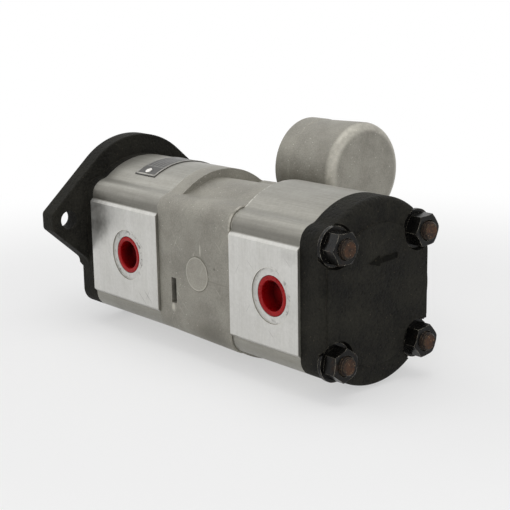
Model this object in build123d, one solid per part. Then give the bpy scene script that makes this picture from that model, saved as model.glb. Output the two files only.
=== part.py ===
import math
import os

from build123d import *

# Tandem gear pump: two external gear sections on one drive line, with a centre
# housing between them that feeds both from one suction elbow. Millimetres.
# X runs along the shaft from the mounting face to the rear cover, the pressure
# ports face -Y, the suction elbow is on +Y and Z is up. The origin is the
# centre of the pilot spigot, on the mounting face.

# Lengths along the shaft
PLATE_T = 11.0
FRONT_COVER_T = 18.0
HUB_RELIEF = 3.5
FRONT_BODY_L = 66.0
CENTRE_L = 65.0
RIM_T = 11.2
REAR_BODY_L = 54.0
REAR_COVER_T = 16.0

# Gears and their journals
GEAR_CENTRES = 32.5
TEETH = 12
PRESSURE_ANGLE = 24.0
BACKLASH = 0.10
ROOT_FACTOR = 1.2
JOURNAL_R = 9.0
TIP_GAP = 0.04
RUNNING_GAP = 0.03
FRONT_GEAR_W = 26.0
FRONT_BLOCK_L = 22.0
REAR_GEAR_W = 14.0
REAR_BLOCK_L = 24.0
BLOCK_GAP = 0.05
BUSH_T = 1.5
BUSH_INSET = 1.0

# Outline shared by the covers, bodies and rim
STUD_PITCH = 60.6
LOBE_R = 9.9
CROWN_R = 46.5
CROWN_H = 51.3
FOOT_H = 50.6
CROWN_BLEND = 8.0
BODY_EDGE = 0.25

# The heavier middle of the centre housing, which widens backwards
MID_LOBE_R = 10.1
MID_CROWN_R = 35.5
MID_CROWN_H = 46.6
MID_CROWN_SHIFT = 4.5
MID_CROWN_BLEND = 16.0
MID_FOOT_STEP = 0.79
MID_FOOT_H = 49.2
MID_FOOT_BLEND = 6.0
MID_DRAFT = 1.2
MID_CHAMFER = 0.6
MARK_R = 9.6
MARK_H = 0.4
MARK_BEHIND = 36.2
SLOT_W = 5.0
SLOT_H = 15.0
SLOT_DEPTH = 12.0
SLOT_DROP = 13.7

# Pressure ports and their pads
PAD_PROUD = 1.9
PAD_H = 55.0
PAD_LEDGE = 2.0
PORT_R = 11.1
PORT_DEPTH = 16.0
PORT_THROAT_R = 7.0
SPOT_R = 15.0
SPOT_DEPTH = 0.7
FRONT_PORT_SHIFT = 2.1
REAR_PORT_SHIFT = 2.7
CHANNEL_H = 14.0
CHANNEL_REACH = 19.0
CHANNEL_CORNER = 3.0
PLUG_GAP = 0.05
PLUG_L = 11.0
PLUG_HOLLOW = 8.5
PLUG_MOUTH_R = 8.3
PLUG_FLOOR_R = 7.2
PLUG_LIP = 0.9
PLUG_PROUD = 0.3

# Mounting flange with two ears
PILOT_R = 41.275
PILOT_H = 6.35
PILOT_CHAMFER = 1.0
FLANGE_R = 47.2
FACE_R = 50.5
PLATE_EDGE = 0.8
HUB_EDGE = 0.8
FLANGE_PITCH = 106.4
FLANGE_HOLE_R = 5.6
EAR_EDGE = 11.7
EAR_TIP = 12.0
EAR_CORNER = 3.0
EAR_BLEND = 6.0
HOLE_CHAMFER = 0.5

# Tie studs, nuts and washers
STUD_R = 5.0
STUD_CLEARANCE = 0.3
STUD_IN_COVER = 12.0
NUT_AF = 16.0
NUT_H = 8.0
NUT_CHAMFER = 1.1
WASHER_R = 10.5
WASHER_T = 2.0
NUT_SINK = 0.7
HEX_SIDES = 6
HEX_EASE = 0.05
STUD_END = 2.6
STUD_CHAMFER = 0.8
SEAT_R = 11.6
SEAT_DEPTH = 3.0
NUT_TURN = (0.0, 5.0, 22.0, 9.0)

# Rear cover
COVER_FOOT_H = 49.2
CAST_EDGE = 3.0
DISC_R = 37.7
DISC_SIDE_Y = 37.2
DISC_SIDE_H = 40.0
DISC_H = 1.2
DISC_EDGE = 0.7
NOTCH_FROM = 19.2
NOTCH_H = 7.0
NOTCH_DEPTH = 2.0
NOTCH_CORNER = 1.8

# Drive shaft
SHAFT_REACH = 41.2
SPLINE_TEETH = 9
SPLINE_R = 7.7
SPLINE_ROOT_R = 6.4
SPLINE_L = 25.0
SEAL_JOURNAL_R = 9.9
SHAFT_BORE_GAP = 0.6
TAIL_R = 8.4
TAIL_ROOT_R = 7.2
TAIL_L = 16.0
TAIL_NECK = 4.0
SLEEVE_R = 11.2
SLEEVE_GAP = 0.05
SLEEVE_BORE_GAP = 0.7
SLEEVE_OVER = 2.0

# Shaft seal and circlip
SEAL_R = 17.5
SEAL_T = 7.0
SEAL_FACE = 3.5
SEAL_CASE_T = 1.5
SEAL_LIP_R = 12.0
CLIP_T = 1.2
CLIP_GROOVE = 0.9
CLIP_W = 2.6
CLIP_GAP = 8.0
CLIP_EYE_R = 2.0
CLIP_EYE_HOLE_R = 0.9
CLIP_EDGE = 0.3

# Face seals, block seals and dowels
TRACK_R = 21.8
TRACK_W = 2.4
TRACK_DEPTH = 1.9
BLOCK_SEAL_R = 13.2
BLOCK_SEAL_W = 2.0
BLOCK_SEAL_DEPTH = 2.2
BLOCK_SEAL_BRIDGE_Y = 6.0
BLOCK_SEAL_BRIDGE_W = 4.5
BLOCK_SEAL_BRIDGE_RUN = 1.5
DOWEL_R = 3.0
DOWEL_L = 12.0
DOWEL_Y = 34.0
DOWEL_Z = 3.0

# Suction elbow with its pot
SUCTION_LEAD = 2.5
SUCTION_R = 17.0
SUCTION_FLOOR = 8.0
SUCTION_FACE = 42.0
ELBOW_PLATE_T = 9.0
ELBOW_PLATE_W = 59.0
ELBOW_PLATE_H = 58.0
ELBOW_CORNER = 8.0
NECK_R = 18.0
NECK_BORE_R = 14.0
RISER_R = 16.0
RISER_BORE_R = 12.0
POT_Y = 78.0
POT_Z = 27.6
POT_AHEAD = 27.6
POT_BEHIND = 21.6
POT_MOUTH_R = 29.2
POT_R_FRONT = 28.8
POT_R_BACK = 30.2
POT_COLLAR = 11.0
POT_STEP = 1.0
POT_EDGE = 6.2
POT_WALL = 5.0
INLET_R = 23.9
INLET_DEPTH = 16.0
POT_CAVITY_R = 23.0
SCREW_R = 4.0
SCREW_L = 22.0
SCREW_AF = 13.0
SCREW_HEAD_H = 5.3
SCREW_CHAMFER = 0.8
SCREW_X = 23.0
SCREW_Z = 14.0
RING_R = 20.2
RING_W = 2.4
RING_DEPTH = 1.9

# Name plate on the crown of the front body
NAME_BEHIND = 22.5
NAME_W = 19.3
NAME_MARGIN = 5.8
NAME_T = 0.5
RIVET_R = 1.3
RIVET_INSET = 4.0
RIVET_HEAD_R = 2.1
RIVET_HEAD_H = 0.6
RIVET_L = 4.0

# How far an added boss or pad runs into what carries it
SINK = 1.0

# Stations and sizes that follow from the values above
X_FRONT_BODY = FRONT_COVER_T
X_CENTRE = X_FRONT_BODY + FRONT_BODY_L
X_REAR_BODY = X_CENTRE + CENTRE_L
X_REAR_COVER = X_REAR_BODY + REAR_BODY_L
X_BACK = X_REAR_COVER + REAR_COVER_T
X_NUT_SEAT = X_BACK - SEAT_DEPTH
X_NUT = X_NUT_SEAT + WASHER_T
X_FRONT_GEAR = X_FRONT_BODY + FRONT_BLOCK_L
X_REAR_GEAR = X_REAR_BODY + REAR_BLOCK_L
BODY_Z = -GEAR_CENTRES / 2
STUD_HALF = STUD_PITCH / 2
FLANK_Y = STUD_HALF + LOBE_R
X_MIDDLE = X_CENTRE + RIM_T
FRONT_PORT_X = X_FRONT_GEAR + FRONT_GEAR_W / 2 + FRONT_PORT_SHIFT
REAR_PORT_X = X_REAR_GEAR + REAR_GEAR_W / 2 + REAR_PORT_SHIFT
SUCTION_X = X_CENTRE + CENTRE_L / 2 - SUCTION_LEAD
MARK_X = X_CENTRE + MARK_BEHIND
NAME_X = X_FRONT_BODY + NAME_BEHIND
POT_FRONT = SUCTION_X - POT_AHEAD
POT_BACK = SUCTION_X + POT_BEHIND
PAD_Y = FLANK_Y + PAD_PROUD
MODULE = GEAR_CENTRES / TEETH
PITCH_R = GEAR_CENTRES / 2
TIP_R = PITCH_R + MODULE
ROOT_R = PITCH_R - ROOT_FACTOR * MODULE
POCKET_R = TIP_R + TIP_GAP
BUSH_R = JOURNAL_R + RUNNING_GAP + BUSH_T
STUD_PLACES = [(y * STUD_HALF, z * STUD_HALF) for z in (1, -1) for y in (-1, 1)]
DOWEL_PLACES = [(-DOWEL_Y, DOWEL_Z), (DOWEL_Y, -DOWEL_Z)]
SCREW_PLACES = [(SUCTION_X + a * SCREW_X, b * SCREW_Z) for a in (-1, 1) for b in (-1, 1)]
DRIVE_TURN = -90.0
DRIVEN_TURN = 90.0 + 180.0 / TEETH
CROWN = (CROWN_R, CROWN_H, CROWN_BLEND, 0.0)
FOOT = (CROWN_R, FOOT_H, CROWN_BLEND, 0.0)
COVER_FOOT = (CROWN_R, COVER_FOOT_H, CROWN_BLEND, 0.0)
MID_RISE = MID_FOOT_H - STUD_HALF
MID_FALL = MID_FOOT_STEP - MID_LOBE_R
MID_FOOT_R = (STUD_HALF ** 2 + MID_RISE ** 2 - MID_FALL ** 2) / (2 * (MID_FALL + MID_RISE))
MID_CROWN = (MID_CROWN_R, MID_CROWN_H, MID_CROWN_BLEND, MID_CROWN_SHIFT)
MID_FOOT = (MID_FOOT_R, MID_FOOT_H, MID_FOOT_BLEND, 0.0)


def across(x, y=0.0, z=0.0):
    """Plane square to the shaft: its own x is +Y, its own y is +Z, and it faces +X."""
    return Plane(origin=(x, y, z), x_dir=(0, 1, 0), z_dir=(1, 0, 0))


def sideways(y, x=0.0, z=0.0):
    """Plane that faces +Y: its own x is -X and its own y is +Z."""
    return Plane(origin=(x, y, z), x_dir=(-1, 0, 0), z_dir=(0, 1, 0))


def bar(x, length, r, y=0.0, z=0.0):
    """Round bar along +X."""
    return extrude(across(x, y, z) * Circle(r), length)


def bar_y(y, length, r, x, z):
    """Round bar along +Y."""
    return extrude(sideways(y, x, z) * Circle(r), length)


def block(low, high):
    """Box between two corners."""
    size = [b - a for a, b in zip(low, high)]
    middle = [(a + b) / 2 for a, b in zip(low, high)]
    return Pos(*middle) * Box(*size)


def countersink(x, y, z, r, depth, turn):
    """Cone that opens the mouth of a hole along X. turn is 1 where the mouth faces -X, otherwise -1."""
    return Pos(x + turn * depth / 2, y, z) * Rot(0, turn * 90, 0) * Cone(r + depth, r, depth)


def polar(r, angle):
    return (r * math.cos(angle), r * math.sin(angle))


def arc_about(centre, start, end):
    """Arc of less than half a turn from start to end, round a centre."""
    r = math.dist(centre, start)
    lean = [start[i] + end[i] - 2 * centre[i] for i in (0, 1)]
    scale = r / math.hypot(*lean)
    middle = tuple(centre[i] + lean[i] * scale for i in (0, 1))
    return ThreePointArc(start, middle, end)


def touch(centre, r, other):
    """Point of a circle that faces another point."""
    reach = r / math.dist(centre, other)
    return tuple(centre[i] + (other[i] - centre[i]) * reach for i in (0, 1))


def blend_centre(crown, crown_r, lobe, lobe_r, blend, side):
    """Centre of the hollow blend between a crown arc and the lobe beside it."""
    a = crown_r + blend
    b = lobe_r + blend
    apart = math.dist(crown, lobe)
    along = (a * a - b * b + apart * apart) / (2 * apart)
    up = math.sqrt(a * a - along * along)
    ux = (lobe[0] - crown[0]) / apart
    uy = (lobe[1] - crown[1]) / apart
    return (crown[0] + along * ux - side * up * uy, crown[1] + along * uy + side * up * ux)


def crown_end(lobe_r, crown, end):
    """Blend, crown and blend between two lobes. end is 1 above and -1 below."""
    crown_r, height, blend, shift = crown
    centre = (-shift, end * (height - crown_r))
    lobes = [(-end * STUD_HALF, end * STUD_HALF), (end * STUD_HALF, end * STUD_HALF)]
    hollows = [
        blend_centre(centre, crown_r, lobe, lobe_r, blend, side)
        for lobe, side in zip(lobes, (-1, 1))
    ]
    on_lobes = [touch(lobe, lobe_r, hollow) for lobe, hollow in zip(lobes, hollows)]
    on_crown = [touch(centre, crown_r, hollow) for hollow in hollows]
    outer = [(side * end * (STUD_HALF + lobe_r), end * STUD_HALF) for side in (-1, 1)]
    return [
        arc_about(lobes[0], outer[0], on_lobes[0]),
        arc_about(hollows[0], on_lobes[0], on_crown[0]),
        arc_about(centre, on_crown[0], on_crown[1]),
        arc_about(hollows[1], on_crown[1], on_lobes[1]),
        arc_about(lobes[1], on_lobes[1], outer[1]),
    ]


def outline(lobe_r, crown, foot):
    """Closed outline: four lobes round the studs, flat flanks and a crowned end above and below."""
    side = STUD_HALF + lobe_r
    flanks = [Line((side, STUD_HALF), (side, -STUD_HALF)), Line((-side, -STUD_HALF), (-side, STUD_HALF))]
    return make_face(crown_end(lobe_r, crown, 1) + flanks + crown_end(lobe_r, foot, -1))


def section(x, length, foot=FOOT):
    """Slice of the pump's common outline."""
    return extrude(across(x, z=BODY_Z) * outline(LOBE_R, CROWN, foot), length)


def end_edges(part, last):
    """Outer edges of a part's last or first face along X."""
    faces = part.faces().sort_by(Axis.X)
    end = faces[-1] if last else faces[0]
    return end.outer_wire().edges()


def bores(x, length, r, places):
    """Round holes along X at places measured from the body centre."""
    return [bar(x, length, r, y, BODY_Z + z) for y, z in places]


def ring_track(x, depth, w):
    """Oval face-seal track round both gear bores."""
    outer = SlotCenterToCenter(GEAR_CENTRES, 2 * TRACK_R + w, 90)
    inner = SlotCenterToCenter(GEAR_CENTRES, 2 * TRACK_R - w, 90)
    return extrude(across(x, z=BODY_Z) * (outer - inner), depth)


def channel(x, length, side):
    """Passage that meets the gears where they mesh. side is 1 for suction and -1 for pressure."""
    face = Pos(side * CHANNEL_REACH / 2, 0) * RectangleRounded(CHANNEL_REACH, CHANNEL_H, CHANNEL_CORNER)
    return extrude(across(x, z=BODY_Z) * face, length)


def port_pad(x, length):
    """Machined port face that stands proud of the flank, with a slanted ledge above and below it."""
    reach = PAD_H / 2
    ledge = reach + PAD_LEDGE
    points = [(-FLANK_Y + SINK, ledge), (-FLANK_Y, ledge), (-PAD_Y, reach)]
    points += [(y, -z) for y, z in reversed(points)]
    return extrude(across(x, z=BODY_Z) * make_face(Polyline(*points, close=True)), length)


def port_cut(x):
    """Spot face, port bore and throat of one pressure port."""
    spot = bar_y(-PAD_Y, SPOT_DEPTH, SPOT_R, x, BODY_Z)
    bore = bar_y(-PAD_Y, PORT_DEPTH, PORT_R, x, BODY_Z)
    throat = bar_y(-PAD_Y, PAD_Y - CHANNEL_REACH / 2, PORT_THROAT_R, x, BODY_Z)
    return [spot, bore, throat]


def pump_body(x, length, gear_x, gear_w, port_x, suction):
    """Gear case open at both ends, with its port, passages, seal tracks, dowel holes and stud holes."""
    body = section(x, length) + port_pad(x, length)
    body = chamfer(end_edges(body, False), BODY_EDGE)
    body = chamfer(end_edges(body, True), BODY_EDGE)
    cuts = [bar(x, length, POCKET_R), bar(x, length, POCKET_R, z=-GEAR_CENTRES)]
    cuts += port_cut(port_x)
    cuts.append(channel(gear_x, gear_w, -1))
    cuts.append(channel(suction[0], suction[1] - suction[0], 1))
    cuts += bores(x, length, STUD_R + STUD_CLEARANCE, STUD_PLACES)
    cuts.append(ring_track(x, TRACK_DEPTH, TRACK_W))
    cuts.append(ring_track(x + length - TRACK_DEPTH, TRACK_DEPTH, TRACK_W))
    cuts += bores(x, DOWEL_L / 2, DOWEL_R, DOWEL_PLACES)
    cuts += bores(x + length - DOWEL_L / 2, DOWEL_L / 2, DOWEL_R, DOWEL_PLACES)
    return body - cuts


def front_body():
    suction = (X_FRONT_GEAR, X_CENTRE)
    return pump_body(X_FRONT_BODY, FRONT_BODY_L, X_FRONT_GEAR, FRONT_GEAR_W, FRONT_PORT_X, suction)


def rear_body():
    suction = (X_REAR_BODY, X_REAR_GEAR + REAR_GEAR_W)
    return pump_body(X_REAR_BODY, REAR_BODY_L, X_REAR_GEAR, REAR_GEAR_W, REAR_PORT_X, suction)


def flange_face():
    """Round flange with two ears whose edges run tangent to it, and chopped ear tips."""
    hole_y = FLANGE_PITCH / 2
    tip_y = hole_y + EAR_TIP
    slope = math.asin((FLANGE_R - EAR_EDGE) / hole_y)
    leave = (FLANGE_R * math.sin(slope), FLANGE_R * math.cos(slope))
    tip_z = (FLANGE_R - tip_y * math.sin(slope)) / math.cos(slope)
    edges = []
    for end in (1, -1):
        start = (-end * leave[0], end * leave[1])
        stop = (end * leave[0], end * leave[1])
        edges.append(ThreePointArc(start, (0, end * FLANGE_R), stop))
        edges.append(Line(stop, (end * tip_y, end * tip_z)))
        edges.append(Line((end * tip_y, end * tip_z), (end * tip_y, -end * tip_z)))
        edges.append(Line((end * tip_y, -end * tip_z), (end * leave[0], -end * leave[1])))
    face = make_face(edges)
    tips = face.vertices().filter_by(lambda v: abs(v.X) > hole_y)
    return fillet(tips, EAR_CORNER)


def flange_plate():
    """Flange with the raised part of the hub's face, blended where an ear's underside meets the flank."""
    hub = Pos(0, BODY_Z) * outline(LOBE_R, CROWN, FOOT)
    face = flange_face() + (hub & Circle(FACE_R))
    low = face.vertices().filter_by(lambda v: v.Y < 0 and abs(abs(v.X) - FLANK_Y) < BODY_EDGE)
    plate = extrude(across(0) * fillet(low.sort_by(Axis.Y)[-2:], EAR_BLEND), PLATE_T)
    return fillet(end_edges(plate, True), PLATE_EDGE)


def front_cover():
    """Cast cover with the two-bolt flange, the pilot spigot and the shaft seal's pocket."""
    hub = section(HUB_RELIEF, FRONT_COVER_T - HUB_RELIEF)
    cover = flange_plate() + fillet(end_edges(hub, True), HUB_EDGE)
    pilot = bar(-PILOT_H, PILOT_H, PILOT_R)
    cover += chamfer(pilot.edges().group_by(Axis.X)[0], PILOT_CHAMFER)
    cuts = [bar(-PILOT_H, PILOT_H + SEAL_FACE, SEAL_R)]
    cuts.append(bar(SEAL_FACE - SEAL_T - CLIP_T, CLIP_T, SEAL_R + CLIP_GROOVE))
    cuts.append(bar(-PILOT_H, PILOT_H + FRONT_COVER_T, SEAL_JOURNAL_R + SHAFT_BORE_GAP))
    cuts += bores(X_FRONT_BODY - STUD_IN_COVER, STUD_IN_COVER, STUD_R, STUD_PLACES)
    cuts += bores(X_FRONT_BODY - DOWEL_L / 2, DOWEL_L / 2, DOWEL_R, DOWEL_PLACES)
    for side in (-1, 1):
        y = side * FLANGE_PITCH / 2
        cuts.append(bar(0, PLATE_T, FLANGE_HOLE_R, y))
        for x, turn in ((0.0, 1), (PLATE_T, -1)):
            cuts.append(countersink(x, y, 0, FLANGE_HOLE_R, HOLE_CHAMFER, turn))
    return cover - cuts


def mid_flank(x):
    """Distance of the centre housing's drafted flank from the middle, at a station along the shaft."""
    return STUD_HALF + MID_LOBE_R + (x - X_MIDDLE) * math.tan(math.radians(MID_DRAFT))


def centre_housing():
    """Cast housing between the bodies: a rim like theirs, and a heavier middle with the suction gallery."""
    middle_face = outline(MID_LOBE_R, MID_CROWN, MID_FOOT)
    middle = extrude(across(X_MIDDLE, z=BODY_Z) * middle_face, CENTRE_L - RIM_T, taper=-MID_DRAFT)
    middle = chamfer(end_edges(middle, True), MID_CHAMFER)
    rim = section(X_CENTRE, RIM_T)
    housing = chamfer(end_edges(rim, False), BODY_EDGE) + middle
    seat_low = (SUCTION_X - ELBOW_PLATE_W / 2, FLANK_Y - SINK, BODY_Z - ELBOW_PLATE_H / 2)
    seat_high = (SUCTION_X + ELBOW_PLATE_W / 2, SUCTION_FACE, BODY_Z + ELBOW_PLATE_H / 2)
    housing += block(seat_low, seat_high)
    housing += bar_y(-mid_flank(MARK_X) - MARK_H, MARK_H + SINK, MARK_R, MARK_X, BODY_Z)
    cuts = [bar(X_CENTRE, CENTRE_L, SLEEVE_R + SLEEVE_BORE_GAP)]
    cuts.append(channel(X_CENTRE, CENTRE_L, 1))
    cuts.append(bar_y(SUCTION_FLOOR, SUCTION_FACE - SUCTION_FLOOR, SUCTION_R, SUCTION_X, BODY_Z))
    cuts += bores(X_CENTRE, CENTRE_L, STUD_R + STUD_CLEARANCE, STUD_PLACES)
    cuts += bores(X_CENTRE, DOWEL_L / 2, DOWEL_R, DOWEL_PLACES)
    cuts += bores(X_REAR_BODY - DOWEL_L / 2, DOWEL_L / 2, DOWEL_R, DOWEL_PLACES)
    slot_z = BODY_Z - SLOT_DROP
    slot_low = (X_MIDDLE, -PAD_Y, slot_z - SLOT_H / 2)
    slot_high = (X_MIDDLE + SLOT_W, -mid_flank(X_MIDDLE) + SLOT_DEPTH, slot_z + SLOT_H / 2)
    cuts.append(block(slot_low, slot_high))
    screw_depth = SCREW_L - ELBOW_PLATE_T
    for x, z in SCREW_PLACES:
        cuts.append(bar_y(SUCTION_FACE - screw_depth, screw_depth, SCREW_R, x, BODY_Z + z))
    return housing - cuts


def rear_cover():
    """Cast end cover with a raised face, nut seats in its corners and notches in its +Y flank."""
    cover = section(X_REAR_COVER, REAR_COVER_T, COVER_FOOT)
    notch = RectangleRounded(2 * NOTCH_DEPTH, NOTCH_H, NOTCH_CORNER)
    for side in (-1, 1):
        middle_z = BODY_Z + side * (NOTCH_FROM + NOTCH_H / 2)
        cover -= extrude(across(X_REAR_COVER, FLANK_Y, middle_z) * notch, REAR_COVER_T)
    cover = fillet(end_edges(cover, True), CAST_EDGE)
    raised = Circle(DISC_R) + Rectangle(2 * DISC_SIDE_Y, DISC_SIDE_H)
    disc = extrude(across(X_BACK - SINK, z=BODY_Z) * raised, DISC_H + SINK)
    cover += fillet(end_edges(disc, True), DISC_EDGE)
    cuts = bores(X_NUT_SEAT, SEAT_DEPTH + DISC_H, SEAT_R, STUD_PLACES)
    cuts += bores(X_REAR_COVER, REAR_COVER_T, STUD_R + STUD_CLEARANCE, STUD_PLACES)
    cuts += bores(X_REAR_COVER, DOWEL_L / 2, DOWEL_R, DOWEL_PLACES)
    return cover - cuts


def tie_studs():
    """Four studs screwed into the front cover and run through to the nuts."""
    start = X_FRONT_BODY - STUD_IN_COVER
    length = X_NUT + NUT_H + STUD_END - start
    studs = []
    for y, z in STUD_PLACES:
        stud = bar(start, length, STUD_R, y, BODY_Z + z)
        studs.append(chamfer(stud.edges().group_by(Axis.X)[-1], STUD_CHAMFER))
    return studs


def hex_blank(at, af, height, edge, turn):
    """Hexagon on a plane, with flats above and below before its turn, and its corners coned at both ends."""
    prism = extrude(at * Rot(0, 0, turn) * RegularPolygon(af / 2, HEX_SIDES, major_radius=False), height)
    turned = extrude(at * Circle(af / 2 / math.cos(math.pi / HEX_SIDES) + HEX_EASE), height)
    return prism & chamfer(turned.edges().filter_by(GeomType.CIRCLE), edge / 2, edge)


def stud_nuts():
    """Hex nuts, each stopped at its own angle."""
    nuts = []
    for (y, z), turn in zip(STUD_PLACES, NUT_TURN):
        middle = (y, BODY_Z + z)
        nut = hex_blank(across(X_NUT, *middle), NUT_AF, NUT_H, NUT_CHAMFER, turn)
        cuts = [bar(X_NUT, NUT_H, STUD_R, *middle)]
        for x, end in ((X_NUT, 1), (X_NUT + NUT_H, -1)):
            cuts.append(countersink(x, *middle, STUD_R, NUT_SINK, end))
        nuts.append(nut - cuts)
    return nuts


def stud_washers():
    washers = []
    for y, z in STUD_PLACES:
        ring = bar(X_NUT_SEAT, WASHER_T, WASHER_R, y, BODY_Z + z)
        washers.append(ring - bar(X_NUT_SEAT, WASHER_T, STUD_R, y, BODY_Z + z))
    return washers


def gear_face(turn):
    """Spur gear outline: involute flanks above the base circle, radial below it, tips and roots as arcs."""
    angle = math.radians(PRESSURE_ANGLE)
    base_r = PITCH_R * math.cos(angle)
    half_tooth = math.pi / (2 * TEETH) - BACKLASH / (2 * PITCH_R)
    at_base = half_tooth + math.tan(angle) - angle
    pitch = 2 * math.pi / TEETH

    def flank(r):
        """Half angle of the tooth at radius r."""
        roll = math.acos(min(1.0, base_r / r))
        return at_base - (math.tan(roll) - roll)

    edges = []
    middle_r = (base_r + TIP_R) / 2
    for k in range(TEETH):
        mid = math.radians(turn) + k * pitch
        rising = [polar(r, mid - flank(r)) for r in (base_r, middle_r, TIP_R)]
        falling = [polar(r, mid + flank(r)) for r in (TIP_R, middle_r, base_r)]
        root_in = polar(ROOT_R, mid - at_base)
        root_out = polar(ROOT_R, mid + at_base)
        root_next = polar(ROOT_R, mid + pitch - at_base)
        edges.append(Line(root_in, rising[0]))
        edges.append(ThreePointArc(*rising))
        edges.append(ThreePointArc(rising[-1], polar(TIP_R, mid), falling[0]))
        edges.append(ThreePointArc(*falling))
        edges.append(Line(falling[-1], root_out))
        edges.append(ThreePointArc(root_out, polar(ROOT_R, mid + pitch / 2), root_next))
    return make_face(edges)


def gear(x, width, z, turn):
    """Gear between its bearing blocks, with the running gap on each face."""
    return extrude(across(x + RUNNING_GAP, z=z) * gear_face(turn), width - 2 * RUNNING_GAP)


def spline_face(tip_r, root_r, grow=0.0):
    """Straight-sided spline outline. grow widens it for the bore that slides over it."""
    pitch = 2 * math.pi / SPLINE_TEETH
    points = []
    for k in range(SPLINE_TEETH):
        mid = k * pitch
        for r, half in ((root_r, 0.30 * pitch), (tip_r, 0.20 * pitch)):
            points.append(polar(r + grow, mid - half - grow / r))
        for r, half in ((tip_r, 0.20 * pitch), (root_r, 0.30 * pitch)):
            points.append(polar(r + grow, mid + half + grow / r))
    return make_face(Polyline(*points, close=True))


def spline(x, length, tip_r, root_r, grow=0.0):
    return extrude(across(x) * spline_face(tip_r, root_r, grow), length)


def drive_shaft():
    """Splined input end, seal journal, front drive gear between two journals, and a splined tail."""
    gear_end = X_FRONT_GEAR + FRONT_GEAR_W
    seal_from = -SHAFT_REACH + SPLINE_L
    shaft = spline(-SHAFT_REACH, SPLINE_L, SPLINE_R, SPLINE_ROOT_R)
    shaft += bar(seal_from, X_FRONT_BODY - seal_from, SEAL_JOURNAL_R)
    shaft += bar(X_FRONT_BODY, X_FRONT_GEAR - X_FRONT_BODY + RUNNING_GAP, JOURNAL_R)
    shaft += gear(X_FRONT_GEAR, FRONT_GEAR_W, 0, DRIVE_TURN)
    shaft += bar(gear_end - RUNNING_GAP, X_CENTRE - gear_end + RUNNING_GAP, JOURNAL_R)
    shaft += bar(X_CENTRE, TAIL_NECK, TAIL_ROOT_R)
    shaft += spline(X_CENTRE + TAIL_NECK, TAIL_L, TAIL_R, TAIL_ROOT_R)
    return shaft


def rear_drive_gear():
    """Splined nose, then the rear drive gear between its journals."""
    gear_end = X_REAR_GEAR + REAR_GEAR_W
    nose = X_REAR_BODY - TAIL_NECK - TAIL_L
    part = spline(nose, TAIL_L, TAIL_R, TAIL_ROOT_R) + bar(X_REAR_BODY - TAIL_NECK, TAIL_NECK, TAIL_ROOT_R)
    part += bar(X_REAR_BODY, REAR_BLOCK_L + RUNNING_GAP, JOURNAL_R)
    part += gear(X_REAR_GEAR, REAR_GEAR_W, 0, DRIVE_TURN)
    part += bar(gear_end - RUNNING_GAP, X_REAR_COVER - gear_end, JOURNAL_R)
    return part


def driven_gear(x, length, gear_x, width):
    """Gear and its two journals, turned half a pitch so that it meshes with the drive gear above it."""
    ends = bar(x + RUNNING_GAP, length - 2 * RUNNING_GAP, JOURNAL_R, z=-GEAR_CENTRES)
    return ends + gear(gear_x, width, -GEAR_CENTRES, DRIVEN_TURN)


def coupling_sleeve():
    """Sleeve that carries the drive from the front shaft's tail to the rear drive gear's nose."""
    start = X_CENTRE + TAIL_NECK + SLEEVE_OVER
    length = CENTRE_L - 2 * (TAIL_NECK + SLEEVE_OVER)
    return bar(start, length, SLEEVE_R) - spline(start, length, TAIL_R, TAIL_ROOT_R, SLEEVE_GAP)


def block_seal_face(width):
    """Figure-three seal: a ring round each journal, open on the suction side."""
    rings = Sketch()
    for z in (0.0, -GEAR_CENTRES):
        ring = Circle(BLOCK_SEAL_R + width / 2) - Circle(BLOCK_SEAL_R - width / 2)
        rings += Pos(0, z + GEAR_CENTRES / 2) * ring
    bridge_h = GEAR_CENTRES - 2 * (BLOCK_SEAL_R - BLOCK_SEAL_BRIDGE_RUN)
    bridge = Pos(-BLOCK_SEAL_BRIDGE_Y, 0) * Rectangle(BLOCK_SEAL_BRIDGE_W, bridge_h)
    open_side = Pos(BLOCK_SEAL_R, 0) * Rectangle(2 * BLOCK_SEAL_R - width, 2 * GEAR_CENTRES)
    return rings + bridge - open_side


def bearing_block(x, length, seal_x):
    """Bearing block that fills both bores, with two bush bores and its seal groove on the far face."""
    r = POCKET_R - BLOCK_GAP
    part = bar(x, length, r) + bar(x, length, r, z=-GEAR_CENTRES)
    cuts = [bar(x, length, BUSH_R), bar(x, length, BUSH_R, z=-GEAR_CENTRES)]
    cuts.append(extrude(across(seal_x, z=BODY_Z) * block_seal_face(BLOCK_SEAL_W), BLOCK_SEAL_DEPTH))
    return part - cuts


def block_places():
    """Start, length and seal groove start of the four bearing blocks, from the mounting face back."""
    places = []
    for start, end, gear_x, gear_w in (
        (X_FRONT_BODY, X_CENTRE, X_FRONT_GEAR, FRONT_GEAR_W),
        (X_REAR_BODY, X_REAR_COVER, X_REAR_GEAR, REAR_GEAR_W),
    ):
        places.append((start, gear_x - start, start))
        places.append((gear_x + gear_w, end - gear_x - gear_w, end - BLOCK_SEAL_DEPTH))
    return places


def bushes(places):
    """Plain bearing bushes, one for each journal."""
    parts = []
    for x, length, _ in places:
        for z in (0.0, -GEAR_CENTRES):
            outer = bar(x + BUSH_INSET, length - 2 * BUSH_INSET, BUSH_R, z=z)
            parts.append(outer - bar(x, length, JOURNAL_R + RUNNING_GAP, z=z))
    return parts


def block_seals():
    return [
        extrude(across(seal_x, z=BODY_Z) * block_seal_face(BLOCK_SEAL_W), BLOCK_SEAL_DEPTH)
        for _, _, seal_x in block_places()
    ]


def section_seals():
    """Oval rings that seal each end of each body."""
    starts = (X_FRONT_BODY, X_CENTRE - TRACK_DEPTH, X_REAR_BODY, X_REAR_COVER - TRACK_DEPTH)
    return [ring_track(x, TRACK_DEPTH, TRACK_W) for x in starts]


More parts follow.
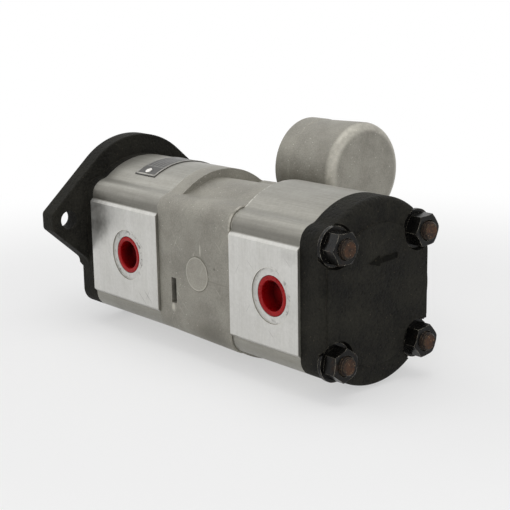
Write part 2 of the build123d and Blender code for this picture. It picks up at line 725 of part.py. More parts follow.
def locating_dowels():
    joints = (X_FRONT_BODY, X_CENTRE, X_REAR_BODY, X_REAR_COVER)
    return [
        bar(x - DOWEL_L / 2, DOWEL_L, DOWEL_R, y, BODY_Z + z)
        for x in joints
        for y, z in DOWEL_PLACES
    ]


def shaft_seal():
    """Lip seal: an outer case, a web at its inner face and a lip that runs on the shaft."""
    lip = SEAL_JOURNAL_R + RUNNING_GAP
    low = SEAL_FACE - SEAL_T
    points = [
        (low, SEAL_R),
        (SEAL_FACE, SEAL_R),
        (SEAL_FACE, SEAL_LIP_R),
        (SEAL_FACE - SEAL_CASE_T, lip + SEAL_CASE_T),
        (SEAL_FACE - SEAL_T / 2, lip),
        (SEAL_FACE - SEAL_T / 2 - SEAL_CASE_T, lip),
        (low + SEAL_CASE_T, lip + SEAL_CASE_T),
        (low, SEAL_LIP_R),
    ]
    return revolve(Plane.XZ * make_face(Polyline(*points, close=True)), Axis.X)


def seal_circlip():
    """Inside circlip with a gap and two eyes at its foot."""
    x = SEAL_FACE - SEAL_T - CLIP_T
    r = SEAL_R + CLIP_GROOVE
    reach = r - CLIP_EYE_R - CLIP_EDGE
    eye_y = CLIP_GAP / 2 + CLIP_EYE_R
    eye_z = -math.sqrt(reach * reach - eye_y * eye_y)
    ring = bar(x, CLIP_T, r) - bar(x, CLIP_T, r - CLIP_W)
    ring -= block((x, -CLIP_GAP / 2, -r), (x + CLIP_T, CLIP_GAP / 2, -r / 2))
    for side in (-1, 1):
        ring += bar(x, CLIP_T, CLIP_EYE_R, side * eye_y, eye_z)
        ring -= bar(x, CLIP_T, CLIP_EYE_HOLE_R, side * eye_y, eye_z)
    return ring


def port_plug(x):
    """Push-in transit plug: a plain cup with a rounded lip, open towards -Y."""
    r = PORT_R - PLUG_GAP
    mouth = [(PLUG_MOUTH_R, 0), (r, 0)]
    inside = [(0, PLUG_HOLLOW), (PLUG_FLOOR_R, PLUG_HOLLOW)]
    line = Polyline(*inside, *mouth, (r, PLUG_L), (0, PLUG_L), close=True)
    cup = revolve(make_face(line), Axis.Y)
    cup = fillet(cup.edges().group_by(Axis.Y)[0], PLUG_LIP)
    return Pos(x, -PAD_Y + SPOT_DEPTH - PLUG_PROUD, BODY_Z) * cup


def suction_pot():
    """Round pot along X: a collar at its open front, a body that widens backwards, a rounded closed end."""
    collar_end = POT_FRONT + POT_COLLAR
    collar = [(POT_FRONT, 0), (POT_FRONT, POT_MOUTH_R), (collar_end, POT_MOUTH_R)]
    barrel = [(collar_end + POT_STEP, POT_R_FRONT), (POT_BACK, POT_R_BACK), (POT_BACK, 0)]
    line = Polyline(*collar, *barrel, close=True)
    pot = revolve(Plane.XZ * make_face(line), Axis.X)
    return Pos(0, POT_Y, POT_Z) * fillet(pot.edges().group_by(Axis.X)[-1], POT_EDGE)


def suction_elbow():
    """Elbow that leaves the centre housing's suction face, turns up and ends in the pot with its inlet."""
    face = RectangleRounded(ELBOW_PLATE_W, ELBOW_PLATE_H, ELBOW_CORNER)
    elbow = extrude(sideways(SUCTION_FACE, SUCTION_X, BODY_Z) * face, ELBOW_PLATE_T)
    run = POT_Y - SUCTION_FACE
    rise = POT_Z - BODY_Z
    corner = Pos(SUCTION_X, POT_Y, BODY_Z)
    elbow += bar_y(SUCTION_FACE, run, NECK_R, SUCTION_X, BODY_Z) + corner * Sphere(NECK_R)
    elbow += corner * Pos(0, 0, rise / 2) * Cylinder(RISER_R, rise)
    elbow += suction_pot()
    cuts = [bar_y(SUCTION_FACE, run, NECK_BORE_R, SUCTION_X, BODY_Z), corner * Sphere(NECK_BORE_R)]
    cuts.append(corner * Pos(0, 0, rise / 2) * Cylinder(RISER_BORE_R, rise))
    cuts.append(bar(POT_FRONT, INLET_DEPTH, INLET_R, POT_Y, POT_Z))
    cavity_from = POT_FRONT + INLET_DEPTH
    cuts.append(bar(cavity_from, POT_BACK - POT_WALL - cavity_from, POT_CAVITY_R, POT_Y, POT_Z))
    cuts.append(elbow_ring(RING_DEPTH))
    for x, z in SCREW_PLACES:
        cuts.append(bar_y(SUCTION_FACE, ELBOW_PLATE_T, SCREW_R + STUD_CLEARANCE, x, BODY_Z + z))
    return elbow - cuts


def elbow_ring(depth):
    """Round seal in the face of the elbow's plate."""
    outer = bar_y(SUCTION_FACE, depth, RING_R + RING_W / 2, SUCTION_X, BODY_Z)
    return outer - bar_y(SUCTION_FACE, depth, RING_R - RING_W / 2, SUCTION_X, BODY_Z)


def elbow_screws():
    """Hex head screws that hold the elbow's plate."""
    screws = []
    under_head = SUCTION_FACE + ELBOW_PLATE_T
    for x, z in SCREW_PLACES:
        head = hex_blank(sideways(under_head, x, BODY_Z + z), SCREW_AF, SCREW_HEAD_H, SCREW_CHAMFER, 0)
        screws.append(head + bar_y(under_head - SCREW_L, SCREW_L, SCREW_R, x, BODY_Z + z))
    return screws


def crown_point(r, turn):
    """Point over the crown at an angle from straight up, leaning to +Y."""
    angle = math.radians(turn)
    return (r * math.sin(angle), CROWN_H - CROWN_R + r * math.cos(angle))


def name_reach():
    """Half the plate's length over the crown, which stops short of the crown's hollow blend."""
    crown = (0, CROWN_H - CROWN_R)
    hollow = blend_centre(crown, CROWN_R, (STUD_HALF, STUD_HALF), LOBE_R, CROWN_BLEND, 1)
    edge = touch(crown, CROWN_R, hollow)
    return CROWN_R * math.atan2(edge[0], edge[1] - crown[1]) - NAME_MARGIN


def name_plate():
    """Thin plate bent over the crown of the front body."""
    half = math.degrees(name_reach() / CROWN_R)
    inner = [crown_point(CROWN_R, a) for a in (-half, 0, half)]
    outer = [crown_point(CROWN_R + NAME_T, a) for a in (half, 0, -half)]
    ends = [Line(inner[-1], outer[0]), Line(outer[-1], inner[0])]
    face = make_face([ThreePointArc(*inner), ends[0], ThreePointArc(*outer), ends[1]])
    plate = extrude(across(NAME_X, z=BODY_Z) * face, NAME_W)
    return plate - [rivet_hole(turn) for turn in rivet_turns()]


def rivet_turns():
    """Angles of the two rivets from straight up."""
    turn = math.degrees((name_reach() - RIVET_INSET) / CROWN_R)
    return (-turn, turn)


def crown_bar(turn, low, high, r):
    """Round bar that stands square on the crown, between two radii of the crown's own centre."""
    y, z = crown_point(low, turn)
    angle = math.radians(turn)
    out = (0, math.sin(angle), math.cos(angle))
    plane = Plane(origin=(NAME_X + NAME_W / 2, y, BODY_Z + z), x_dir=(1, 0, 0), z_dir=out)
    return extrude(plane * Circle(r), high - low)


def rivet_hole(turn):
    return crown_bar(turn, CROWN_R - RIVET_L, CROWN_R + NAME_T, RIVET_R)


def plate_rivets():
    """Drive rivets through the name plate."""
    top = CROWN_R + NAME_T
    head = (top, top + RIVET_HEAD_H, RIVET_HEAD_R)
    return [rivet_hole(turn) + crown_bar(turn, *head) for turn in rivet_turns()]


def drilled_front_body():
    return front_body() - [rivet_hole(turn) for turn in rivet_turns()]


def write(name, parts):
    """One STEP file per node, holding one solid or a group of them."""
    items = parts if isinstance(parts, list) else [parts]
    solids = [solid for item in items for solid in item.solids()]
    shape = solids[0] if len(solids) == 1 else Compound(children=solids)
    shape.label = name
    export_step(shape, f"parts/{name}.step")


def main():
    os.makedirs("parts", exist_ok=True)
    places = block_places()
    nodes = {
        "front_cover": front_cover(),
        "front_body": drilled_front_body(),
        "centre_housing": centre_housing(),
        "rear_body": rear_body(),
        "rear_cover": rear_cover(),
        "tie_studs": tie_studs(),
        "stud_nuts": stud_nuts(),
        "stud_washers": stud_washers(),
        "drive_shaft": drive_shaft(),
        "coupling_sleeve": coupling_sleeve(),
        "rear_drive_gear": rear_drive_gear(),
        "front_driven_gear": driven_gear(X_FRONT_BODY, FRONT_BODY_L, X_FRONT_GEAR, FRONT_GEAR_W),
        "rear_driven_gear": driven_gear(X_REAR_BODY, REAR_BODY_L, X_REAR_GEAR, REAR_GEAR_W),
        "front_section_bushes": bushes(places[:2]),
        "rear_section_bushes": bushes(places[2:]),
        "block_seals": block_seals(),
        "section_seals": section_seals(),
        "locating_dowels": locating_dowels(),
        "shaft_seal": shaft_seal(),
        "seal_circlip": seal_circlip(),
        "front_port_plug": port_plug(FRONT_PORT_X),
        "rear_port_plug": port_plug(REAR_PORT_X),
        "suction_elbow": suction_elbow(),
        "elbow_o_ring": elbow_ring(RING_DEPTH),
        "elbow_screws": elbow_screws(),
        "name_plate": name_plate(),
        "plate_rivets": plate_rivets(),
    }
    block_names = ("front_section_front_block", "front_section_rear_block")
    block_names += ("rear_section_front_block", "rear_section_rear_block")
    for name, place in zip(block_names, places):
        nodes[name] = bearing_block(*place)
    for name, parts in nodes.items():
        write(name, parts)


main()
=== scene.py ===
import math

import bmesh
import bpy
import numpy as np
from mathutils import Matrix


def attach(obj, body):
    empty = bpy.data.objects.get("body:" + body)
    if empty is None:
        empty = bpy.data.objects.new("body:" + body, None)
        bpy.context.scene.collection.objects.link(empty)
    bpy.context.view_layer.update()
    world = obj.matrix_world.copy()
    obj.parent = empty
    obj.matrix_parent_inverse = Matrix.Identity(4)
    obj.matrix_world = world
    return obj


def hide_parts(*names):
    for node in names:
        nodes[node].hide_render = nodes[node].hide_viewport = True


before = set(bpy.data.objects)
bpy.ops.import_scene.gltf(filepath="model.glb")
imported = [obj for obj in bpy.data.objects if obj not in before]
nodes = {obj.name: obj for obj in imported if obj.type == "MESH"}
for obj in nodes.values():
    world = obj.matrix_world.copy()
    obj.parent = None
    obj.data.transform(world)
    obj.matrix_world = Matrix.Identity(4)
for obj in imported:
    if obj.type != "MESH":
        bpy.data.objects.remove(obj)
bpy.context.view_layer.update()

mm = 0.001
print("frame loaded,", len(nodes), "pieces")


meshSet = {"mergeWithin": 2e-6, "sharp": 35.0}


def gridFaces(rows, columns, closeRows, closeColumns):
    # quad (i, j) joins the grid points i, i+1 and j, j+1, with the last joined to the first where closed
    i, j = np.meshgrid(np.arange(rows - 1 + closeRows), np.arange(columns - 1 + closeColumns), indexing="ij")
    nextI, nextJ = (i + 1) % rows, (j + 1) % columns
    corners = (i * columns + j, i * columns + nextJ, nextI * columns + nextJ, nextI * columns + j)
    return np.stack(corners, axis=-1).reshape(-1, 4)


def pieceFromParts(name, parts, material, body, sharp=meshSet["sharp"]):
    # parts is a list of (points as rows x columns x 3 in millimetres, closeRows, closeColumns)
    points, faces, count = [], [], 0
    for grid, closeRows, closeColumns in parts:
        faces.append(gridFaces(grid.shape[0], grid.shape[1], closeRows, closeColumns) + count)
        points.append(grid.reshape(-1, 3))
        count += grid.shape[0] * grid.shape[1]
    mesh = bpy.data.meshes.new(name)
    mesh.from_pydata((np.concatenate(points) * mm).tolist(), [], np.concatenate(faces).tolist())
    work = bmesh.new()
    work.from_mesh(mesh)
    bmesh.ops.remove_doubles(work, verts=work.verts, dist=meshSet["mergeWithin"])
    bmesh.ops.recalc_face_normals(work, faces=work.faces)
    work.to_mesh(mesh)
    work.free()
    mesh.polygons.foreach_set("use_smooth", [True] * len(mesh.polygons))
    mesh.set_sharp_from_angle(angle=math.radians(sharp))
    mesh.materials.append(material)
    piece = bpy.data.objects.new(name, mesh)
    bpy.context.scene.collection.objects.link(piece)
    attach(piece, body)
    return piece


def squareWave(angle, power):
    # rounded square profile: sign(cos a)|cos a|^power and the same for sin
    c, s = np.cos(angle), np.sin(angle)
    return np.sign(c) * np.abs(c) ** power, np.sign(s) * np.abs(s) ** power


def addNode(tree, kind, values=None, **settings):
    node = tree.nodes.new(kind)
    for key, value in settings.items():
        setattr(node, key, value)
    for key, value in (values or {}).items():
        if isinstance(value, bpy.types.NodeSocket):
            tree.links.new(value, node.inputs[key])
        else:
            node.inputs[key].default_value = value
    return node


def sums(tree, operation, first, second=0.0, third=None):
    values = {0: first, 1: second}
    if third is not None:
        values[2] = third
    return addNode(tree, "ShaderNodeMath", values, operation=operation).outputs[0]


def times(tree, first, *others):
    # product of all the values
    for other in others:
        first = sums(tree, "MULTIPLY", first, other)
    return first


def offFrom(tree, value, middle):
    # how far the value is from the middle, on either side
    return sums(tree, "ABSOLUTE", sums(tree, "SUBTRACT", value, middle))


def diagonal(tree, first, second):
    # square root of the sum of both squares
    squares = sums(tree, "ADD", times(tree, first, first), times(tree, second, second))
    return sums(tree, "SQRT", squares)


def ramp(tree, value, low, high, toLow=0.0, toHigh=1.0):
    values = {"Value": value, "From Min": low, "From Max": high, "To Min": toLow, "To Max": toHigh}
    return addNode(tree, "ShaderNodeMapRange", values, interpolation_type="SMOOTHSTEP").outputs["Result"]


def vectorSum(tree, operation, first, second=(0.0, 0.0, 0.0)):
    return addNode(tree, "ShaderNodeVectorMath", {0: first, 1: second}, operation=operation).outputs


def axesOf(tree, vector):
    return addNode(tree, "ShaderNodeSeparateXYZ", {0: vector}).outputs


def faceNormal(tree):
    return addNode(tree, "ShaderNodeNewGeometry").outputs["Normal"]


def noise(tree, place, scale, detail=2.0, roughness=0.5):
    values = {"Vector": place, "Scale": scale, "Detail": detail, "Roughness": roughness}
    return addNode(tree, "ShaderNodeTexNoise", values).outputs[0]


def cells(tree, place, scale):
    # distance from the nearest of the points scattered through space
    return addNode(tree, "ShaderNodeTexVoronoi", {"Vector": place, "Scale": scale}).outputs["Distance"]


def blendColours(tree, factor, first, second, how="MIX"):
    values = {0: factor, 6: first, 7: second}
    return addNode(tree, "ShaderNodeMix", values, data_type="RGBA", blend_type=how).outputs[2]


def paintOver(tree, base, tint, share, *masks):
    # the tint covers the base by the share, where all the masks are 1
    return blendColours(tree, times(tree, *masks, share), base, tint)


def startGroup(name, inputs, outputs):
    # every group takes a Position first, then the inputs given as (label, start value)
    group = bpy.data.node_groups.new(name, "ShaderNodeTree")
    group.interface.new_socket(name="Position", in_out="INPUT", socket_type="NodeSocketVector")
    for label, value in inputs:
        kind = "NodeSocketVector" if isinstance(value, tuple) else "NodeSocketFloat"
        group.interface.new_socket(name=label, in_out="INPUT", socket_type=kind).default_value = value
    for label in outputs:
        group.interface.new_socket(name=label, in_out="OUTPUT", socket_type="NodeSocketFloat")
    return group, addNode(group, "NodeGroupInput").outputs, addNode(group, "NodeGroupOutput").inputs


def placeGroup(tree, group, place, values=None):
    return addNode(tree, "ShaderNodeGroup", {"Position": place, **(values or {})}, node_tree=group).outputs


sandSkinSet = {
    "grain": 900.0, "grainDetail": 4.0, "grainRoughness": 0.62, "mottle": 60.0, "mottleDetail": 5.0,
    "mottleRoughness": 0.6, "pitScale": 0.4, "pitEdge": 0.45, "pitShare": 0.4, "grainShare": 0.45,
    "tone": (0.33, 0.67),
}


def makeSandSkin(s):
    # sand-cast surface: fine grain and pits in Height, broad mottling in Tone
    inputs = [("Grain", s["grain"]), ("Mottle", s["mottle"])]
    group, source, target = startGroup("sandSkin", inputs, ["Tone", "Height"])
    place = source["Position"]
    fine = noise(group, place, source["Grain"], s["grainDetail"], s["grainRoughness"])
    broad = noise(group, place, source["Mottle"], s["mottleDetail"], s["mottleRoughness"])
    pits = ramp(group, cells(group, place, times(group, source["Grain"], s["pitScale"])), 0.0, s["pitEdge"])
    height = sums(group, "MULTIPLY_ADD", pits, s["pitShare"], times(group, fine, 1 - s["pitShare"]))
    tone = sums(group, "MULTIPLY_ADD", fine, s["grainShare"], times(group, broad, 1 - s["grainShare"]))
    group.links.new(ramp(group, tone, *s["tone"]), target["Tone"])
    group.links.new(height, target["Height"])
    return group


edgeWearAndGlintSet = {"reach": 0.5 * mm, "samples": 6, "turn": (0.99, 0.86), "break": 300.0, "detail": 3.0,
               "patch": (0.35, 0.62)}


def makeEdgeWearAndGlint(s):
    # rounded normal against the true one is 1 on flats and falls on edges, broken up by noise
    inputs = [("Reach", s["reach"]), ("Break", s["break"])]
    group, source, target = startGroup("edgeWearAndGlint", inputs, ["Mask"])
    rounded = addNode(group, "ShaderNodeBevel", {"Radius": source["Reach"]}, samples=s["samples"]).outputs[0]
    turn = vectorSum(group, "DOT_PRODUCT", rounded, faceNormal(group))["Value"]
    patch = noise(group, source["Position"], source["Break"], s["detail"])
    mask = times(group, ramp(group, turn, *s["turn"]), ramp(group, patch, *s["patch"]))
    group.links.new(mask, target["Mask"])
    return group


toolMarksSet = {"stretch": (1.0, 1.0, 1.0), "fine": 1200.0, "detail": 4.0, "roughness": 0.65,
                "wideScale": 0.12, "wideShare": 0.5, "tone": (0.34, 0.66)}


def makeToolMarks(s):
    # lines left by a cutter or a die: noise on coordinates stretched along the travel
    inputs = [("Stretch", s["stretch"]), ("Fine", s["fine"])]
    group, source, target = startGroup("toolMarks", inputs, ["Tone", "Height"])
    place = vectorSum(group, "MULTIPLY", source["Position"], source["Stretch"])[0]
    lines = noise(group, place, source["Fine"], s["detail"], s["roughness"])
    wide = noise(group, place, times(group, source["Fine"], s["wideScale"]))
    both = sums(group, "MULTIPLY_ADD", wide, s["wideShare"], times(group, lines, 1 - s["wideShare"]))
    group.links.new(ramp(group, both, *s["tone"]), target["Tone"])
    group.links.new(lines, target["Height"])
    return group


softSpotSet = {"centre": (0.0, 0.0, 0.0), "spread": (10 * mm, 10 * mm, 10 * mm), "soft": 0.3, "ragged": 0.4,
               "scale": 2.5, "detail": 4.0}


def makeSoftSpot(s):
    # ragged stain: |(place - centre) / spread| plus noise, 1 inside and 0 outside
    inputs = [("Centre", s["centre"]), ("Spread", s["spread"]), ("Soft", s["soft"]), ("Ragged", s["ragged"])]
    group, source, target = startGroup("softSpot", inputs, ["Mask"])
    off = vectorSum(group, "SUBTRACT", source["Position"], source["Centre"])[0]
    scaled = vectorSum(group, "DIVIDE", off, source["Spread"])[0]
    far = vectorSum(group, "LENGTH", scaled)["Value"]
    rough = sums(group, "SUBTRACT", noise(group, scaled, s["scale"], s["detail"]), 0.5)
    edge = sums(group, "ADD", far, times(group, rough, source["Ragged"]))
    outside, inside = sums(group, "ADD", source["Soft"], 1.0), sums(group, "SUBTRACT", 1.0, source["Soft"])
    group.links.new(ramp(group, edge, outside, inside), target["Mask"])
    return group


cornerShadeAndDirtSet = {"reach": 4 * mm, "samples": 6, "shut": (0.85, 0.35), "break": 220.0, "detail": 3.0,
                  "patch": (0.2, 0.7)}


def makeCornerShadeAndDirt(s):
    # what a short-range occlusion ray finds shut in, broken up by noise: the mask for painted shade and dirt
    # in corners and recesses
    inputs = [("Reach", s["reach"]), ("Break", s["break"])]
    group, source, target = startGroup("cornerShadeAndDirt", inputs, ["Mask"])
    rays = addNode(group, "ShaderNodeAmbientOcclusion", {"Distance": source["Reach"]}, samples=s["samples"])
    patch = noise(group, source["Position"], source["Break"], s["detail"])
    mask = times(group, ramp(group, rays.outputs["AO"], *s["shut"]), ramp(group, patch, *s["patch"]))
    group.links.new(mask, target["Mask"])
    return group


seamChipsAndHighlightSet = {"half": 1.1 * mm, "high": (-4 * mm, 12 * mm), "endFace": (0.85, 0.5), "scale": 420.0,
                "detail": 3.0, "patch": (0.43, 0.52)}


def makeSeamChipsAndHighlight(s):
    # bright chips along a joint square to the shaft, partly a painted highlight on its edge: near it, high
    # up, off the end faces, broken by noise
    group, source, target = startGroup("seamChipsAndHighlight", [("Seam", 0.0), ("Half", s["half"])], ["Mask"])
    axes = axesOf(group, source["Position"])
    off = offFrom(group, axes["X"], source["Seam"])
    near = addNode(group, "ShaderNodeMapRange", {"Value": off, "From Min": source["Half"], "From Max": 0.0})
    alongX = sums(group, "ABSOLUTE", axesOf(group, faceNormal(group))["X"])
    patch = noise(group, source["Position"], s["scale"], s["detail"])
    mask = times(group, near.outputs["Result"], ramp(group, axes["Z"], *s["high"]),
                 ramp(group, alongX, *s["endFace"]), ramp(group, patch, *s["patch"]))
    group.links.new(mask, target["Mask"])
    return group


scratchesSet = {"turn": (0.0, 0.0, 0.0), "rare": 0.7, "soft": 0.05, "stretch": (1.0, 1.0, 0.05),
                "scale": 900.0, "detail": 1.0, "leans": (0.85, -0.55)}


def makeScratches(s):
    # thin lines: noise on turned and stretched coordinates, kept only at its peaks
    group, source, target = startGroup("scratches", [("Turn", s["turn"]), ("Rare", s["rare"])], ["Mask"])
    angles = {"Vector": source["Position"], "Rotation": source["Turn"]}
    turned = addNode(group, "ShaderNodeVectorRotate", angles, rotation_type="EULER_XYZ").outputs[0]
    lines = noise(group, vectorSum(group, "MULTIPLY", turned, s["stretch"])[0], s["scale"], s["detail"])
    full = sums(group, "ADD", source["Rare"], s["soft"])
    peak = {"Value": lines, "From Min": source["Rare"], "From Max": full}
    group.links.new(addNode(group, "ShaderNodeMapRange", peak).outputs["Result"], target["Mask"])
    return group


sandSkin = makeSandSkin(sandSkinSet)
edgeWearAndGlint = makeEdgeWearAndGlint(edgeWearAndGlintSet)
toolMarks = makeToolMarks(toolMarksSet)
softSpot = makeSoftSpot(softSpotSet)
cornerShadeAndDirt = makeCornerShadeAndDirt(cornerShadeAndDirtSet)
seamChipsAndHighlight = makeSeamChipsAndHighlight(seamChipsAndHighlightSet)
scratches = makeScratches(scratchesSet)
print("shader groups made")


def colour(red, green, blue):
    # screen values 0 to 255 to the linear values that a shader takes
    srgb = np.array([red, green, blue]) / 255.0
    linear = np.where(srgb <= 0.04045, srgb / 12.92, ((srgb + 0.055) / 1.055) ** 2.4)
    return (*linear.tolist(), 1.0)


def startMaterial(name, s):
    material = bpy.data.materials.new(name)
    material.use_nodes = True
    tree = material.node_tree
    shader = tree.nodes["Principled BSDF"]
    shader.inputs["Metallic"].default_value = s.get("metallic", 0.0)
    if "specular" in s:
        shader.inputs["Specular IOR Level"].default_value = s["specular"]
    return material, tree, shader, addNode(tree, "ShaderNodeTexCoord").outputs["Object"]


def setBump(tree, shader, height, distance):
    bump = addNode(tree, "ShaderNodeBump", {"Height": height, "Distance": distance, "Strength": 1.0})
    tree.links.new(bump.outputs[0], shader.inputs["Normal"])


def finishShader(tree, shader, base, tone, height, s):
    # the tone runs the roughness from the first to the second value of rough, and the height makes the bump
    tree.links.new(base, shader.inputs["Base Color"])
    tree.links.new(ramp(tree, tone, 0.0, 1.0, *s["rough"]), shader.inputs["Roughness"])
    setBump(tree, shader, height, s["bump"])


blackCastingSet = {
    "dark": colour(10, 10, 9), "light": colour(45, 44, 39), "wearAndHighlight": colour(74, 70, 62),
    "dust": colour(44, 40, 34), "fleck": colour(112, 102, 86), "specular": 0.1,
    "skin": {"Grain": 820.0, "Mottle": 60.0}, "edge": {"Reach": 0.7 * mm}, "shadeAndDirt": {"Reach": 5 * mm},
    "run": {"Stretch": (1.0, 1.0, 0.12), "Fine": 420.0}, "fleckScale": 260.0, "fleckSize": (0.09, 0.03),
    "runShare": 0.06, "shadeAndDirtShare": 0.15, "fleckShare": 0.5, "edgeShare": 0.6,
    "rough": (0.62, 0.8), "bump": 1.1 * mm,
}


def makeBlackCasting(s, name="blackCasting"):
    material, tree, shader, place = startMaterial(name, s)
    skin = placeGroup(tree, sandSkin, place, s["skin"])
    edge = placeGroup(tree, edgeWearAndGlint, place, s["edge"])["Mask"]
    shadeAndDirt = placeGroup(tree, cornerShadeAndDirt, place, s["shadeAndDirt"])["Mask"]
    run = placeGroup(tree, toolMarks, place, s["run"])["Tone"]
    flecks = ramp(tree, cells(tree, place, s["fleckScale"]), *s["fleckSize"], 0.0, s["fleckShare"])
    paint = blendColours(tree, skin["Tone"], s["dark"], s["light"])
    paint = paintOver(tree, paint, s["wearAndHighlight"], s["runShare"], run)
    paint = paintOver(tree, paint, s["dust"], s["shadeAndDirtShare"], shadeAndDirt)
    paint = blendColours(tree, flecks, paint, s["fleck"])
    paint = paintOver(tree, paint, s["wearAndHighlight"], s["edgeShare"], edge)
    finishShader(tree, shader, paint, skin["Tone"], skin["Height"], s)
    return material


castSkinSet = {
    "dark": colour(126, 123, 114), "light": colour(160, 157, 147), "wearAndHighlight": colour(214, 210, 198),
    "stainAndShade": colour(92, 88, 78), "holeShade": colour(24, 23, 21), "fleck": colour(225, 222, 212),
    "pit": colour(70, 67, 60), "metallic": 0.42, "rough": (0.46, 0.6), "bump": 0.22 * mm,
    "skin": {"Grain": 1200.0, "Mottle": 55.0}, "edge": {"Reach": 0.6 * mm, "Break": 200.0},
    "chipsAndHighlight": {"Seam": 149.0 * mm}, "fleckScale": 240.0, "fleckSize": (0.1, 0.05), "pitScale": 130.0,
    "pitSize": (0.055, 0.03), "scratchRare": 0.74, "fleckShare": 0.5, "pitShare": 0.7, "scratchShare": 0.25,
    "shadeAndDirtShare": 0.3, "edgeShare": 0.45, "chipsAndHighlightShare": 0.9, "spotShare": 0.6, "spotRagged": 0.4,
}
# stains on the housing's near side, and painted shade in the slot: centre, spread, softness, colour
housingSpots = {
    "slotDrip": ((96.8, -41.5, -40.0), (1.6, 6.0, 2.2), 0.5, "wearAndHighlight"),
    "scratch": ((136.0, -41.8, -18.4), (17.0, 6.0, 0.35), 0.6, "dark"),
    "tick": ((123.2, -41.5, -2.2), (0.5, 6.0, 3.0), 0.5, "wearAndHighlight"),
    "nick": ((135.7, -41.5, -10.7), (0.9, 6.0, 0.7), 0.3, "stainAndShade"),
    "slotShade": ((97.0, -33.0, -29.9), (4.0, 6.5, 9.0), 0.3, "holeShade"),
    "smearLow": ((130.0, -41.5, -50.0), (14.0, 8.0, 7.0), 0.9, "stainAndShade"),
}
# the raised round mark on the same side, and the pot's closed end, both in millimetres
markSet = {"x": 120.2, "y": -40.5, "z": -16.25, "r": 9.6, "deep": 1.0, "rimIn": 0.3, "shadeLineOut": 0.35,
           "line": (0.5, 0.1), "topShare": 0.16, "shadeLineShare": 0.5, "litRimShare": 0.35}
potEdgeHighlightSet = {"y": 78.0, "z": 27.6, "end": 135.6, "r": 30.2, "edge": 6.2, "from": 0.8, "before": 1.4,
              "after": 1.8, "scale": 420.0, "detail": 4.0, "patch": (0.3, 0.7, 0.3, 0.52)}


def addSpots(tree, place, base, s, spots, share, ragged):
    for centre, spread, soft, tint in spots.values():
        values = {"Centre": [v * mm for v in centre], "Spread": [v * mm for v in spread], "Soft": soft,
                  "Ragged": ragged}
        base = paintOver(tree, base, s[tint], share, placeGroup(tree, softSpot, place, values)["Mask"])
    return base


def addScratches(tree, place, base, tint, share, rare):
    # two crossing sets of scratches, turned about Y, seen on the faces that look along Y
    for lean in scratchesSet["leans"]:
        mask = placeGroup(tree, scratches, place, {"Turn": (0.0, lean, 0.0), "Rare": rare})["Mask"]
        base = paintOver(tree, base, tint, share, mask)
    return base


def offAxis(tree, axes, names, middle):
    # distance in metres from a line square to both the named axes, through the point given in millimetres
    first, second = (sums(tree, "SUBTRACT", axes[name], value * mm) for name, value in zip(names, middle))
    return diagonal(tree, first, second)


def circleLine(tree, far, radius, reach):
    # soft line on the circle of that radius: 0 at the first reach from it and 1 within the second
    return ramp(tree, offFrom(tree, far, radius * mm), reach[0] * mm, reach[1] * mm)


def addHousingMarks(tree, place, base, s):
    # stains, then the raised round mark's pale top, a painted shade line round it and a painted highlight on
    # its rim
    base = addSpots(tree, place, base, s, housingSpots, s["spotShare"], s["spotRagged"])
    m = markSet
    axes = axesOf(tree, place)
    far = offAxis(tree, axes, "XZ", (m["x"], m["z"]))
    side = ramp(tree, axes["Y"], (m["y"] + m["deep"]) * mm, m["y"] * mm)
    litRim = circleLine(tree, far, m["r"] - m["rimIn"], m["line"])
    line = circleLine(tree, far, m["r"] + m["shadeLineOut"], m["line"])
    top = ramp(tree, far, m["r"] * mm, (m["r"] - m["rimIn"]) * mm)
    base = paintOver(tree, base, s["wearAndHighlight"], m["topShare"], top, side)
    base = paintOver(tree, base, s["stainAndShade"], m["shadeLineShare"], line, side)
    return paintOver(tree, base, s["wearAndHighlight"], m["litRimShare"], litRim, side)


def addPotEdgeHighlight(tree, place, base, s):
    # the pot's round closed edge gets a painted highlight, partly worn metal: past the start of its rounding
    # both along X and outwards
    p = potEdgeHighlightSet
    axes = axesOf(tree, place)
    masks = []
    for value, reach in ((offAxis(tree, axes, "YZ", (p["y"], p["z"])), p["r"]), (axes["X"], p["end"])):
        start = reach - p["edge"] * p["from"]
        masks.append(ramp(tree, value, (start - p["before"]) * mm, (start + p["after"]) * mm))
    worn = ramp(tree, noise(tree, place, p["scale"], p["detail"]), *p["patch"])
    return blendColours(tree, times(tree, *masks, worn), base, s["wearAndHighlight"])


def makeCastSkin(s, name, addOwnMarks):
    material, tree, shader, place = startMaterial(name, s)
    skin = placeGroup(tree, sandSkin, place, s["skin"])
    edge = placeGroup(tree, edgeWearAndGlint, place, s["edge"])["Mask"]
    shadeAndDirt = placeGroup(tree, cornerShadeAndDirt, place)["Mask"]
    chipsAndHighlight = placeGroup(tree, seamChipsAndHighlight, place, s["chipsAndHighlight"])["Mask"]
    flecks = ramp(tree, cells(tree, place, s["fleckScale"]), *s["fleckSize"], 0.0, s["fleckShare"])
    pits = ramp(tree, cells(tree, place, s["pitScale"]), *s["pitSize"], 0.0, s["pitShare"])
    metal = blendColours(tree, skin["Tone"], s["dark"], s["light"])
    metal = blendColours(tree, flecks, metal, s["fleck"])
    metal = blendColours(tree, pits, metal, s["pit"])
    metal = addScratches(tree, place, metal, s["wearAndHighlight"], s["scratchShare"], s["scratchRare"])
    metal = addOwnMarks(tree, place, metal, s)
    # painted shade, with some dirt, darkens the corners
    metal = paintOver(tree, metal, s["stainAndShade"], s["shadeAndDirtShare"], shadeAndDirt)
    metal = paintOver(tree, metal, s["wearAndHighlight"], s["edgeShare"], edge)
    # bright chips at the joint, partly a painted highlight
    metal = paintOver(tree, metal, s["wearAndHighlight"], s["chipsAndHighlightShare"], chipsAndHighlight)
    finishShader(tree, shader, metal, skin["Tone"], skin["Height"], s)
    return material


